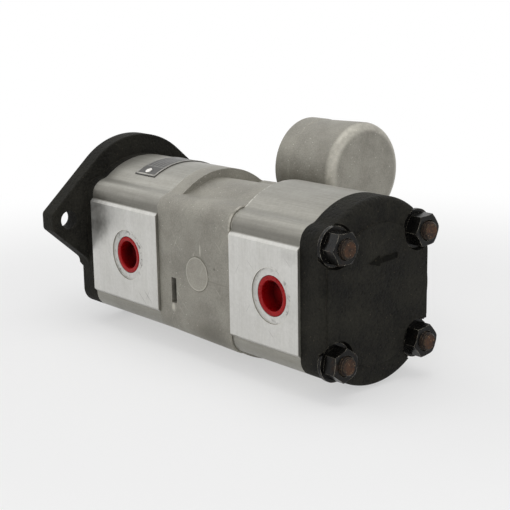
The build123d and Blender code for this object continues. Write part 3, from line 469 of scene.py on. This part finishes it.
profileSet = {
    "satinDark": colour(144, 142, 134), "satinLight": colour(160, 158, 150),
    "milledDark": colour(210, 209, 204), "milledLight": colour(219, 218, 214),
    "wearAndHighlight": colour(226, 223, 214), "stainAndShade": colour(74, 71, 64), "metallic": 0.6,
    "drawn": {"Stretch": (0.03, 1.0, 1.0), "Fine": 1500.0},
    "milled": {"Stretch": (1.0, 1.0, 0.05), "Fine": 1300.0},
    "broad": {"Grain": 500.0, "Mottle": 40.0}, "edge": {"Reach": 0.45 * mm, "Break": 160.0},
    "shadeAndDirt": {"Reach": 3 * mm}, "chipsAndHighlight": {"Seam": 149.0 * mm}, "broadShare": 0.18, "shadeAndDirtShare": 0.2,
    "edgeShare": 0.35, "chipsAndHighlightShare": 0.9, "roughSatin": 0.36, "roughMilled": 0.3, "roughBroad": 0.08,
    "bump": 0.02 * mm,
}
# the milled pad, and the painted shade band on the upper lobes with its heights above the port's middle
padSet = {"y": -41.0, "flankY": -40.3, "facing": (0.5, 0.8), "shadeTop": 40.0, "shadeFoot": 33.0,
          "shadeIn": 33.0, "shadeOut": 38.5, "shadeShare": 0.42}
portSet = {
    "z": -16.25, "spotR": 15.0, "spotSoft": 0.15, "ringPitch": 0.35, "dirtR": 13.8, "dirtReach": (2.6, 0.0),
    "speckScale": 520.0, "speckDetail": 5.0, "speck": (0.5, 0.6), "patchScale": 90.0, "patch": (0.42, 0.62),
    "dirtShare": 0.75, "scratchShare": 0.4, "scratchRare": 0.735, "ringReach": (0.4, 0.1), "ringShare": 0.5,
    "ragged": 1.4,
}
endSet = {
    # the front pad's dark upper corner is a painted reflection of the black flange
    "front": {"x": 55.1, "cornerShare": 0.7,
              "spots": {"corner": ((24.0, -41.8, 3.5), (9.0, 6.0, 9.5), 0.95, "stainAndShade")}},
    "rear": {"x": 182.7, "cornerShare": 0.15,
             "spots": {"corner": ((196.0, -41.8, 7.0), (5.0, 6.0, 3.0), 0.95, "stainAndShade")}},
}


def padMask(tree, axes):
    # 1 on the milled pad, which looks along Y and stands out past the flank
    facing = ramp(tree, sums(tree, "ABSOLUTE", axesOf(tree, faceNormal(tree))["Y"]), *padSet["facing"])
    return times(tree, ramp(tree, axes["Y"], padSet["flankY"] * mm, padSet["y"] * mm), facing)


def lobeShadeMask(tree, axes):
    # 1 on the strip of the upper lobes that gets painted shade
    level = sums(tree, "SUBTRACT", axes["Z"], portSet["z"] * mm)
    out = sums(tree, "ABSOLUTE", axes["Y"])
    top = ramp(tree, level, padSet["shadeTop"] * mm, padSet["shadeFoot"] * mm)
    side = ramp(tree, out, padSet["shadeIn"] * mm, padSet["shadeOut"] * mm)
    return times(tree, top, side, ramp(tree, level, 0.0, padSet["shadeIn"] * mm / 2))


def addPortMarks(tree, place, base, s, far, pad):
    # dirt in broken specks round the port, fine scratches on the pad, a rubbed ring at the spot face's edge
    p = portSet
    specks = ramp(tree, noise(tree, place, p["speckScale"], p["speckDetail"]), *p["speck"])
    patches = ramp(tree, noise(tree, place, p["patchScale"]), *p["patch"])
    near = circleLine(tree, far, p["dirtR"], p["dirtReach"])
    base = paintOver(tree, base, s["stainAndShade"], p["dirtShare"], near, specks, patches, pad)
    marked = addScratches(tree, place, base, s["stainAndShade"], p["scratchShare"], p["scratchRare"])
    base = blendColours(tree, pad, base, marked)
    ring = circleLine(tree, far, p["spotR"], p["ringReach"])
    return paintOver(tree, base, s["wearAndHighlight"], p["ringShare"], ring, pad)


def makeProfileSkin(s, end):
    # drawn profile with lengthwise die lines, a milled pad on its -Y side and a turned spot face
    material, tree, shader, place = startMaterial("profileSkin" + end.capitalize(), s)
    own = endSet[end]
    axes = axesOf(tree, place)
    far = offAxis(tree, axes, "XZ", (own["x"], portSet["z"]))
    drawn = placeGroup(tree, toolMarks, place, s["drawn"])
    milled = placeGroup(tree, toolMarks, place, s["milled"])
    broad = placeGroup(tree, sandSkin, place, s["broad"])["Tone"]
    edge = placeGroup(tree, edgeWearAndGlint, place, s["edge"])["Mask"]
    shadeAndDirt = placeGroup(tree, cornerShadeAndDirt, place, s["shadeAndDirt"])["Mask"]
    chipsAndHighlight = placeGroup(tree, seamChipsAndHighlight, place, s["chipsAndHighlight"])["Mask"]
    pad = padMask(tree, axes)
    satin = blendColours(tree, drawn["Tone"], s["satinDark"], s["satinLight"])
    # painted shade along the outer side of the upper lobes
    satin = paintOver(tree, satin, s["stainAndShade"], padSet["shadeShare"], lobeShadeMask(tree, axes))
    bright = blendColours(tree, milled["Tone"], s["milledDark"], s["milledLight"])
    metal = blendColours(tree, pad, satin, bright)
    metal = blendColours(tree, times(tree, broad, s["broadShare"]), metal, s["satinDark"], "MULTIPLY")
    metal = addSpots(tree, place, metal, s, own["spots"], own["cornerShare"], portSet["ragged"])
    metal = addPortMarks(tree, place, metal, s, far, pad)
    # painted shade, with some dirt, darkens the corners
    metal = paintOver(tree, metal, s["stainAndShade"], s["shadeAndDirtShare"], shadeAndDirt)
    metal = paintOver(tree, metal, s["wearAndHighlight"], s["edgeShare"], edge)
    # bright chips at the joint, partly a painted highlight
    metal = paintOver(tree, metal, s["wearAndHighlight"], s["chipsAndHighlightShare"], chipsAndHighlight)
    tree.links.new(metal, shader.inputs["Base Color"])
    rough = ramp(tree, pad, 0.0, 1.0, s["roughSatin"], s["roughMilled"])
    tree.links.new(sums(tree, "MULTIPLY_ADD", broad, s["roughBroad"], rough), shader.inputs["Roughness"])
    # the bump follows the die, the cutter on the pad and the turned rings on the spot face
    spot = ramp(tree, far, (portSet["spotR"] + portSet["spotSoft"]) * mm, portSet["spotR"] * mm)
    rings = sums(tree, "SINE", times(tree, far, 2 * math.pi / (portSet["ringPitch"] * mm)))
    height = addNode(tree, "ShaderNodeMix", {0: pad, 2: drawn["Height"], 3: milled["Height"]}).outputs[0]
    height = addNode(tree, "ShaderNodeMix", {0: times(tree, spot, pad), 2: height, 3: rings}).outputs[0]
    setBump(tree, shader, height, s["bump"])
    return material


turnedSet = {
    "groundSteel": {"dark": colour(150, 151, 152), "light": colour(196, 197, 198), "metallic": 1.0,
                    "rough": (0.18, 0.34), "lines": {"Stretch": (0.08, 1.0, 1.0), "Fine": 1600.0}},
    "bearingBronze": {"dark": colour(150, 104, 52), "light": colour(198, 150, 84), "metallic": 1.0,
                      "rough": (0.25, 0.42), "lines": {"Stretch": (0.1, 1.0, 1.0), "Fine": 1200.0}},
    "blockAlloy": {"dark": colour(168, 168, 164), "light": colour(206, 206, 202), "metallic": 0.9,
                   "rough": (0.3, 0.48), "lines": {"Stretch": (1.0, 0.08, 1.0), "Fine": 900.0}},
    "rivetAlloy": {"dark": colour(205, 203, 198), "light": colour(240, 238, 233), "metallic": 0.9,
                   "rough": (0.22, 0.4), "lines": {"Fine": 1500.0}},
    "plateEdge": {"dark": colour(118, 116, 110), "light": colour(176, 174, 167), "metallic": 0.6,
                  "rough": (0.36, 0.5), "lines": {"Fine": 900.0}},
}
turnedWear = {"edge": {"Reach": 0.3 * mm}, "edgeShare": 0.5, "bump": 0.02 * mm}


def makeTurnedMetal(name, s):
    material, tree, shader, place = startMaterial(name, s)
    lines = placeGroup(tree, toolMarks, place, s["lines"])
    edge = placeGroup(tree, edgeWearAndGlint, place, s["edge"])["Mask"]
    metal = blendColours(tree, lines["Tone"], s["dark"], s["light"])
    metal = paintOver(tree, metal, s["light"], s["edgeShare"], edge)
    finishShader(tree, shader, metal, lines["Tone"], lines["Height"], s)
    return material


oxideSet = {
    "dark": colour(8, 8, 8), "light": colour(24, 23, 21), "wearAndHighlight": colour(200, 192, 174),
    "rust": colour(58, 40, 27), "metallic": 0.15, "specular": 0.17, "rough": (0.2, 0.34), "bump": 0.04 * mm,
    "skin": {"Grain": 1500.0, "Mottle": 170.0}, "edge": {"Reach": 0.35 * mm, "Break": 380.0},
    "edgeShare": 0.7, "rustScale": 140.0, "rustDetail": 6.0, "rustPatch": (0.6, 0.76), "rustShare": 0.45,
}


def makeOxide(s):
    material, tree, shader, place = startMaterial("blackOxide", s)
    skin = placeGroup(tree, sandSkin, place, s["skin"])
    edge = placeGroup(tree, edgeWearAndGlint, place, s["edge"])["Mask"]
    rusty = noise(tree, place, s["rustScale"], s["rustDetail"])
    metal = blendColours(tree, skin["Tone"], s["dark"], s["light"])
    metal = blendColours(tree, ramp(tree, rusty, *s["rustPatch"], 0.0, s["rustShare"]), metal, s["rust"])
    # painted glints along the nut edges, with some wear
    metal = paintOver(tree, metal, s["wearAndHighlight"], s["edgeShare"], edge)
    finishShader(tree, shader, metal, skin["Tone"], skin["Height"], s)
    return material


rustSet = {
    "dark": colour(12, 10, 9), "light": colour(86, 60, 43), "steel": colour(196, 168, 130),
    "gap": colour(15, 13, 12), "metallic": 0.2, "specular": 0.2, "rough": (0.4, 0.7), "bump": 0.08 * mm,
    "skin": {"Grain": 1100.0, "Mottle": 230.0}, "edge": {"Reach": 0.3 * mm, "Break": 700.0},
    "edgeShare": 0.45, "glintScale": 800.0, "glint": (0.22, 0.1), "glintShare": 0.6, "half": 30.3,
    "middleZ": -16.25, "endR": 4.0, "endSoft": 0.2, "gapShare": 0.8,
}


def makeRustySteel(s):
    material, tree, shader, place = startMaterial("rustySteel", s)
    skin = placeGroup(tree, sandSkin, place, s["skin"])
    edge = placeGroup(tree, edgeWearAndGlint, place, s["edge"])["Mask"]
    glints = ramp(tree, cells(tree, place, s["glintScale"]), *s["glint"], 0.0, s["glintShare"])
    metal = blendColours(tree, skin["Tone"], s["dark"], s["light"])
    metal = blendColours(tree, glints, metal, s["steel"])
    # painted shade in the thread and the gap round the plain end: distance from the nearest of the four stud
    # axes
    axes = axesOf(tree, place)
    offY = sums(tree, "SUBTRACT", sums(tree, "ABSOLUTE", axes["Y"]), s["half"] * mm)
    offZ = sums(tree, "SUBTRACT", offFrom(tree, axes["Z"], s["middleZ"] * mm), s["half"] * mm)
    inside, outside = (s["endR"] - s["endSoft"]) * mm, (s["endR"] + s["endSoft"]) * mm
    gap = ramp(tree, diagonal(tree, offY, offZ), inside, outside, 0.0, s["gapShare"])
    metal = blendColours(tree, gap, metal, s["gap"])
    metal = paintOver(tree, metal, s["steel"], s["edgeShare"], edge)
    finishShader(tree, shader, metal, skin["Tone"], skin["Height"], s)
    return material


# the deep colour is painted shade for the insides of the plugs and seals
mouldedSet = {
    "plugPlastic": {"dark": colour(140, 3, 8), "light": colour(172, 6, 13), "deep": colour(46, 1, 3),
                    "rough": (0.24, 0.36), "specular": 0.2, "hollow": {"Reach": 16 * mm, "Break": 20.0}},
    "sealRubber": {"dark": colour(18, 18, 18), "light": colour(32, 32, 32), "deep": colour(12, 12, 12),
                   "rough": (0.5, 0.65), "specular": 0.3, "hollow": {"Reach": 4 * mm, "Break": 20.0}},
}
mouldedSkin = {"skin": {"Grain": 700.0, "Mottle": 90.0}, "hollowShadeShare": 1.5, "bump": 0.03 * mm}


def makeMoulded(name, s):
    material, tree, shader, place = startMaterial(name, s)
    skin = placeGroup(tree, sandSkin, place, s["skin"])
    hollow = placeGroup(tree, cornerShadeAndDirt, place, s["hollow"])["Mask"]
    base = blendColours(tree, skin["Tone"], s["dark"], s["light"])
    # painted shade: the deep colour darkens what the occlusion ray finds shut in
    base = paintOver(tree, base, s["deep"], s["hollowShadeShare"], hollow)
    finishShader(tree, shader, base, skin["Tone"], skin["Height"], s)
    return material


crownSet = {"r": 47.0, "z": -11.45}
plateSet = {
    "field": colour(58, 58, 57), "worn": colour(88, 87, 84), "metal": colour(140, 139, 135),
    "metallic": 0.5, "rough": (0.35, 0.5), "bump": 0.04 * mm, "skin": {"Grain": 900.0, "Mottle": 150.0},
    "front": 40.5, "rulePitch": 3.1, "ruleWidth": 0.3, "ruleSoft": 1.6, "ruleEnd": 15.5,
    "endSoft": 0.002, "crossLine": (0.8, 0.4),
}


def makePlateField(s):
    # dark field with bare rules along the crown's arc, evenly spaced in X, and a cross line near each rivet
    material, tree, shader, place = startMaterial("plateField", s)
    axes = axesOf(tree, place)
    arc = sums(tree, "ARCTAN2", axes["Y"], sums(tree, "SUBTRACT", axes["Z"], crownSet["z"] * mm))
    steps = sums(tree, "DIVIDE", sums(tree, "SUBTRACT", axes["X"], s["front"] * mm), s["rulePitch"] * mm)
    half = s["ruleWidth"] / s["rulePitch"] / 2
    rule = ramp(tree, offFrom(tree, sums(tree, "FRACT", steps), 0.5), half * s["ruleSoft"], half)
    past = sums(tree, "SUBTRACT", sums(tree, "ABSOLUTE", arc), s["ruleEnd"] / crownSet["r"])
    rule = times(tree, rule, ramp(tree, past, s["endSoft"], -s["endSoft"]))
    outer, inner = (s["ruleWidth"] * share / crownSet["r"] for share in s["crossLine"])
    lines = sums(tree, "MAXIMUM", rule, ramp(tree, sums(tree, "ABSOLUTE", past), outer, inner))
    skin = placeGroup(tree, sandSkin, place, s["skin"])
    base = blendColours(tree, skin["Tone"], s["field"], s["worn"])
    base = blendColours(tree, lines, base, s["metal"])
    finishShader(tree, shader, base, skin["Tone"], sums(tree, "ADD", skin["Height"], lines), s)
    return material


materials = {
    "blackCasting": makeBlackCasting(blackCastingSet),
    "castSkin": makeCastSkin(castSkinSet, "castSkin", addHousingMarks),
    "elbowSkin": makeCastSkin(castSkinSet, "elbowSkin", addPotEdgeHighlight),
    "profileFront": makeProfileSkin(profileSet, "front"),
    "profileRear": makeProfileSkin(profileSet, "rear"),
    "blackOxide": makeOxide(oxideSet),
    "rustySteel": makeRustySteel(rustSet),
    "plateField": makePlateField(plateSet),
}
for name, settings in turnedSet.items():
    materials[name] = makeTurnedMetal(name, {**settings, **turnedWear})
for name, settings in mouldedSet.items():
    materials[name] = makeMoulded(name, {**settings, **mouldedSkin})
print("materials made:", len(materials))

finishes = {
    "blackCasting": ["front_cover", "rear_cover"],
    "castSkin": ["centre_housing"],
    "elbowSkin": ["suction_elbow"],
    "profileFront": ["front_body"],
    "profileRear": ["rear_body"],
    "blackOxide": ["stud_nuts", "stud_washers", "elbow_screws", "seal_circlip"],
    "rustySteel": ["tie_studs"],
    "plateField": ["name_plate"],
    "rivetAlloy": ["plate_rivets"],
    "groundSteel": ["drive_shaft", "coupling_sleeve", "rear_drive_gear", "front_driven_gear",
                    "rear_driven_gear", "locating_dowels"],
    "bearingBronze": ["front_section_bushes", "rear_section_bushes"],
    "blockAlloy": ["front_section_front_block", "front_section_rear_block", "rear_section_front_block",
                   "rear_section_rear_block"],
    "plugPlastic": ["front_port_plug", "rear_port_plug"],
    "sealRubber": ["shaft_seal", "block_seals", "section_seals", "elbow_o_ring"],
}
for finish, names in finishes.items():
    for name in names:
        for slot in nodes[name].material_slots:
            slot.material = materials[finish]
print("finishes set on the pieces")


def threadDepth(s, xs, angles):
    # 0 at the crest to 1 at the root: 1 - |2 frac(x / pitch - angle / 2 pi) - 1|, flattened at both
    turn = xs / s["pitch"] - angles / (2 * np.pi)
    wave = 1 - np.abs(2 * (turn - np.floor(turn)) - 1)
    return np.clip(wave * (1 + 2 * s["flat"]) - s["flat"], 0, 1)


studSet = {
    "start": 6.0, "end": 228.6, "threadFrom": 206.0, "major": 5.0, "depth": 0.9, "pitch": 1.5,
    "flat": 0.125, "chamfer": 0.9, "half": 30.3, "middleZ": -16.25, "round": 40, "perTurn": 10,
    "sharp": 28.0,
}


def studGrid(s, y, z):
    # radius = major - depth * threadDepth past threadFrom, coned at the free end and closed at both ends
    threadRows = int((s["end"] - s["threadFrom"]) / s["pitch"] * s["perTurn"])
    x = np.concatenate([[s["start"], s["start"], s["threadFrom"] - s["pitch"]],
                        np.linspace(s["threadFrom"], s["end"], threadRows), [s["end"]]])
    angle = np.linspace(0, 2 * np.pi, s["round"], endpoint=False)
    xs, angles = np.meshgrid(x, angle, indexing="ij")
    fade = np.clip((xs - s["threadFrom"]) / s["pitch"], 0, 1)
    radius = s["major"] - s["depth"] * fade * threadDepth(s, xs, angles)
    cone = s["major"] - s["chamfer"] + (s["end"] - xs)
    radius = np.minimum(radius, cone)
    radius[0], radius[-1] = 0, 0
    grid = np.stack([xs, y + radius * np.cos(angles), z + radius * np.sin(angles)], axis=-1)
    return grid, False, True


def makeStuds(s):
    places = [(a * s["half"], s["middleZ"] + b * s["half"]) for a in (-1, 1) for b in (-1, 1)]
    grids = [studGrid(s, y, z) for y, z in places]
    rusty = materials["rustySteel"]
    studs = pieceFromParts("threadedStuds", grids, rusty, "housing", s["sharp"])
    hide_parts("tie_studs")


makeStuds(studSet)
print("studs made")


inletSet = {
    "front": 86.9, "back": 101.6, "y": 78.0, "z": 27.6, "major": 23.9, "sunk": 0.05, "depth": 1.45,
    "wall": 24.3, "pitch": 2.309, "flat": 0.15, "round": 120, "perTurn": 10,
}


def makeInletThread(s):
    # ring whose inner face is major - depth * threadDepth, faded at both ends, closed in the pot's wall
    rows = int((s["back"] - s["front"]) / s["pitch"] * s["perTurn"])
    x = np.linspace(s["front"], s["back"], rows)
    angle = np.linspace(0, 2 * np.pi, s["round"], endpoint=False)
    xs, angles = np.meshgrid(x, angle, indexing="ij")
    fade = np.clip(np.minimum(xs - s["front"], s["back"] - xs) / s["pitch"], 0, 1)
    inner = s["major"] + s["sunk"] - s["depth"] * fade * threadDepth(s, xs, angles)
    radius = np.concatenate([inner, np.full((2, s["round"]), s["wall"])])
    along = np.concatenate([xs, xs[-1:], xs[:1]])
    turns = np.concatenate([angles, angles[-1:], angles[:1]])
    grid = np.stack([along, s["y"] + radius * np.cos(turns), s["z"] + radius * np.sin(turns)], axis=-1)
    pieceFromParts("inletThread", [(grid, True, True)], materials["elbowSkin"], "housing")


makeInletThread(inletSet)
print("inlet thread made")


borderSet = {
    "front": 40.5, "wide": 19.3, "arc": 49.6, "inset": 0.75, "width": 1.1, "high": 0.16, "sunk": 0.1,
    "corner": 1.0, "steps": 90, "round": 6, "section": 16, "power": 0.5,
}


def wrapOnCrown(flat):
    # (x, arc length, height) to a place on the crown: angle = arc / radius from straight up
    angle = flat[..., 1] / crownSet["r"]
    radius = crownSet["r"] + flat[..., 2]
    return np.stack([flat[..., 0], radius * np.sin(angle), crownSet["z"] + radius * np.cos(angle)], axis=-1)


def roundedLoop(s):
    # rectangle with round corners in (x, arc length), at even steps of its length and at every corner point
    halfX, halfArc = s["wide"] / 2 - s["inset"], s["arc"] / 2 - s["inset"]
    corners = []
    for number, (signX, signArc) in enumerate(((1, 1), (-1, 1), (-1, -1), (1, -1))):
        angle = np.linspace(0, np.pi / 2, s["round"]) + number * np.pi / 2
        corners.append(np.stack([signX * (halfX - s["corner"]) + s["corner"] * np.cos(angle),
                                 signArc * (halfArc - s["corner"]) + s["corner"] * np.sin(angle)], axis=-1))
    loop = np.concatenate(corners + [corners[0][:1]])
    lengths = np.concatenate([[0], np.cumsum(np.linalg.norm(np.diff(loop, axis=0), axis=1))])
    spots = np.union1d(np.linspace(0, lengths[-1], s["steps"], endpoint=False), lengths[:-1])
    return np.stack([np.interp(spots, lengths, loop[:, k]) for k in (0, 1)], axis=-1)


def makePlateBorder(s):
    # a rounded-square section carried along the rounded rectangle, then wrapped on the crown
    path = roundedLoop(s)
    ahead = np.roll(path, -1, axis=0) - np.roll(path, 1, axis=0)
    ahead /= np.linalg.norm(ahead, axis=1, keepdims=True)
    side = np.stack([ahead[:, 1], -ahead[:, 0]], axis=-1)
    across, up = squareWave(np.linspace(0, 2 * np.pi, s["section"], endpoint=False), s["power"])
    offset = across * s["width"] / 2
    height = up * (s["high"] + s["sunk"]) / 2 + (s["high"] - s["sunk"]) / 2
    middleX = s["front"] + s["wide"] / 2
    flat = np.stack([middleX + path[:, :1] + side[:, :1] * offset, path[:, 1:] + side[:, 1:] * offset,
                     np.broadcast_to(height, (len(path), len(height)))], axis=-1)
    parts = [(wrapOnCrown(flat), True, True)]
    pieceFromParts("plateBorder", parts, materials["plateEdge"], "housing")


makePlateBorder(borderSet)
print("plate border made")


arrowSet = {
    "face": 220.2, "tipY": -9.2, "tailY": 13.2, "z": 2.2, "lean": 1.3, "high": 0.5, "sunk": 0.3,
    "head": 0.4, "headHalf": 2.9, "shaftHalf": 1.65, "headRows": 8, "shaftRows": 24, "round": 20,
    "power": 0.55, "rise": 1.5,
}
# the arrow's darker black is painted shade, as if it lay in a recess
arrowShadeSet = {
    **blackCastingSet, "dark": colour(9, 9, 8), "light": colour(22, 22, 19), "specular": 0.04,
    "rough": (0.7, 0.85),
}


def makeArrow(s):
    # half width grows along the head, steps down to the shaft, and ends square at the tail
    head = np.linspace(0, s["head"], s["headRows"])
    shaft = np.linspace(s["head"], 1, s["shaftRows"])
    along = np.concatenate([head, shaft, [1.0]])
    half = np.concatenate([s["headHalf"] * head / s["head"], np.full(len(shaft), s["shaftHalf"]), [0.0]])
    across, up = squareWave(np.linspace(0, 2 * np.pi, s["round"], endpoint=False), s["power"])
    y = s["tipY"] + (s["tailY"] - s["tipY"]) * along
    z = s["z"] + s["lean"] * (along - 0.5)
    lift = np.minimum(1, half / s["shaftHalf"] * s["rise"])[:, None] * up
    x = s["face"] + lift * (s["high"] + s["sunk"]) / 2 + (s["high"] - s["sunk"]) / 2
    x[-1] = s["face"]
    grid = np.stack([x, np.broadcast_to(y[:, None], x.shape), z[:, None] + half[:, None] * across], axis=-1)
    # darker black on the raised arrow as painted shade
    paint = makeBlackCasting(arrowShadeSet, "arrowShade")
    pieceFromParts("castArrow", [(grid, False, True)], paint, "housing")


makeArrow(arrowSet)
print("arrow made")


white = (1.0, 1.0, 1.0, 1.0)
floorSet = {"x": 110.0, "z": -66.95, "half": 20000.0, "tint": colour(238, 238, 238), "roughness": 0.8,
            "specular": 0.1, "near": 200.0, "far": 520.0, "lift": 0.5}


def lookedAt(tree):
    # 1 for rays from the lens and for those mirrored or passed on by gloss and glass
    path = addNode(tree, "ShaderNodeLightPath").outputs
    looked = sums(tree, "MAXIMUM", path["Is Camera Ray"], path["Is Glossy Ray"])
    return sums(tree, "MAXIMUM", looked, path["Is Transmission Ray"])


def makeFloor(s):
    # flat sheet, z constant, under the lowest point of the object
    edge = np.array([-s["half"], s["half"]])
    xs, ys = np.meshgrid(edge, edge, indexing="ij")
    grid = np.stack([xs, ys, np.full_like(xs, s["z"])], axis=-1)
    material, tree, shader, place = startMaterial("paleFloor", s)
    shader.inputs["Base Color"].default_value = s["tint"]
    shader.inputs["Roughness"].default_value = s["roughness"]
    # past the object's surroundings the sheet shows plain white to the lens and in reflections
    far = vectorSum(tree, "DISTANCE", place, (s["x"] * mm, 0.0, s["z"] * mm))["Value"]
    share = times(tree, lookedAt(tree), ramp(tree, far, s["near"] * mm, s["far"] * mm, s["lift"], 1.0))
    glow = addNode(tree, "ShaderNodeEmission", {"Color": white, "Strength": 1.0}).outputs[0]
    both = addNode(tree, "ShaderNodeMixShader", {0: share, 1: shader.outputs[0], 2: glow}).outputs[0]
    tree.links.new(both, tree.nodes["Material Output"].inputs["Surface"])
    mesh = bpy.data.meshes.new("floorSheet")
    mesh.from_pydata((grid.reshape(-1, 3) * mm).tolist(), [], [(0, 2, 3, 1)])
    mesh.materials.append(material)
    floor = bpy.data.objects.new("floorSheet", mesh)
    bpy.context.scene.collection.objects.link(floor)


worldSet = {"light": 0.45, "seen": 1.0, "low": (0.4, 0.4, 0.4, 1.0), "high": white, "rise": (-0.3, 0.7)}


def makeWorld(s):
    # lights the object softly from above, and shows as plain white
    world = bpy.data.worlds.new("softStudio")
    bpy.context.scene.world = world
    world.use_nodes = True
    tree = world.node_tree
    tree.nodes.clear()
    up = axesOf(tree, addNode(tree, "ShaderNodeTexCoord").outputs["Generated"])["Z"]
    sky = blendColours(tree, ramp(tree, up, *s["rise"]), s["low"], s["high"])
    lit = addNode(tree, "ShaderNodeBackground", {"Color": sky, "Strength": s["light"]}).outputs[0]
    seen = addNode(tree, "ShaderNodeBackground", {"Color": white, "Strength": s["seen"]}).outputs[0]
    both = addNode(tree, "ShaderNodeMixShader", {0: lookedAt(tree), 1: lit, 2: seen}).outputs[0]
    addNode(tree, "ShaderNodeOutputWorld", {"Surface": both})


def axesMatrix(right, up, back, place):
    rows = np.eye(4)
    rows[:3, 0], rows[:3, 1], rows[:3, 2], rows[:3, 3] = right, up, back, place
    return Matrix(rows.tolist())


lampSet = {
    "keyBox": {"place": (-620, -560, 520), "size": 300.0, "power": 0.5},
    "topBox": {"place": (150, 80, 1100), "size": 1000.0, "power": 4.5},
    "sideBox": {"place": (1300, -200, 450), "size": 700.0, "power": 2.0},
    "backBox": {"place": (-700, -60, 760), "size": 420.0, "power": 0.6},
    "frontBox": {"place": (760, -800, 330), "size": 260.0, "power": 1.5},
}
aim = (110.0, 0.0, 0.0)


def makeLamp(name, s):
    # square soft box turned towards the aim
    place, target = np.array(s["place"], float), np.array(aim)
    back = (place - target) / np.linalg.norm(place - target)
    right = np.cross((0.0, 0.0, 1.0), back)
    right /= np.linalg.norm(right)
    lamp = bpy.data.lights.new(name, "AREA")
    lamp.shape = "SQUARE"
    lamp.size = s["size"] * mm
    lamp.energy = s["power"]
    holder = bpy.data.objects.new(name, lamp)
    holder.matrix_world = axesMatrix(right, np.cross(back, right), back, place * mm)
    bpy.context.scene.collection.objects.link(holder)


cameraSet = {
    "azimuth": 49.082, "elevation": 13.697, "roll": -0.962, "place": (638.46, -447.41, 154.53),
    "lens": 86.33, "sensor": 36.0, "clipEnd": 100.0,
}


def makeCamera(s):
    # looks along -back from the place, with the level axes right and up turned by the roll
    a, e, r = (math.radians(s[key]) for key in ("azimuth", "elevation", "roll"))
    back = np.array([math.sin(a) * math.cos(e), -math.cos(a) * math.cos(e), math.sin(e)])
    right = np.array([math.cos(a), math.sin(a), 0.0])
    up = np.cross(back, right)
    tiltedRight = math.cos(r) * right + math.sin(r) * up
    tiltedUp = math.cos(r) * up - math.sin(r) * right
    lens = bpy.data.cameras.new("photoLens")
    lens.lens = s["lens"]
    lens.sensor_width = s["sensor"]
    lens.clip_end = s["clipEnd"]
    camera = bpy.data.objects.new("photoCamera", lens)
    camera.matrix_world = axesMatrix(tiltedRight, tiltedUp, back, np.array(s["place"]) * mm)
    bpy.context.scene.collection.objects.link(camera)
    bpy.context.scene.camera = camera


makeFloor(floorSet)
makeWorld(worldSet)
for name, settings in lampSet.items():
    makeLamp(name, settings)
makeCamera(cameraSet)
bpy.context.scene.view_settings.view_transform = "Standard"
print("floor, lamps and camera made")
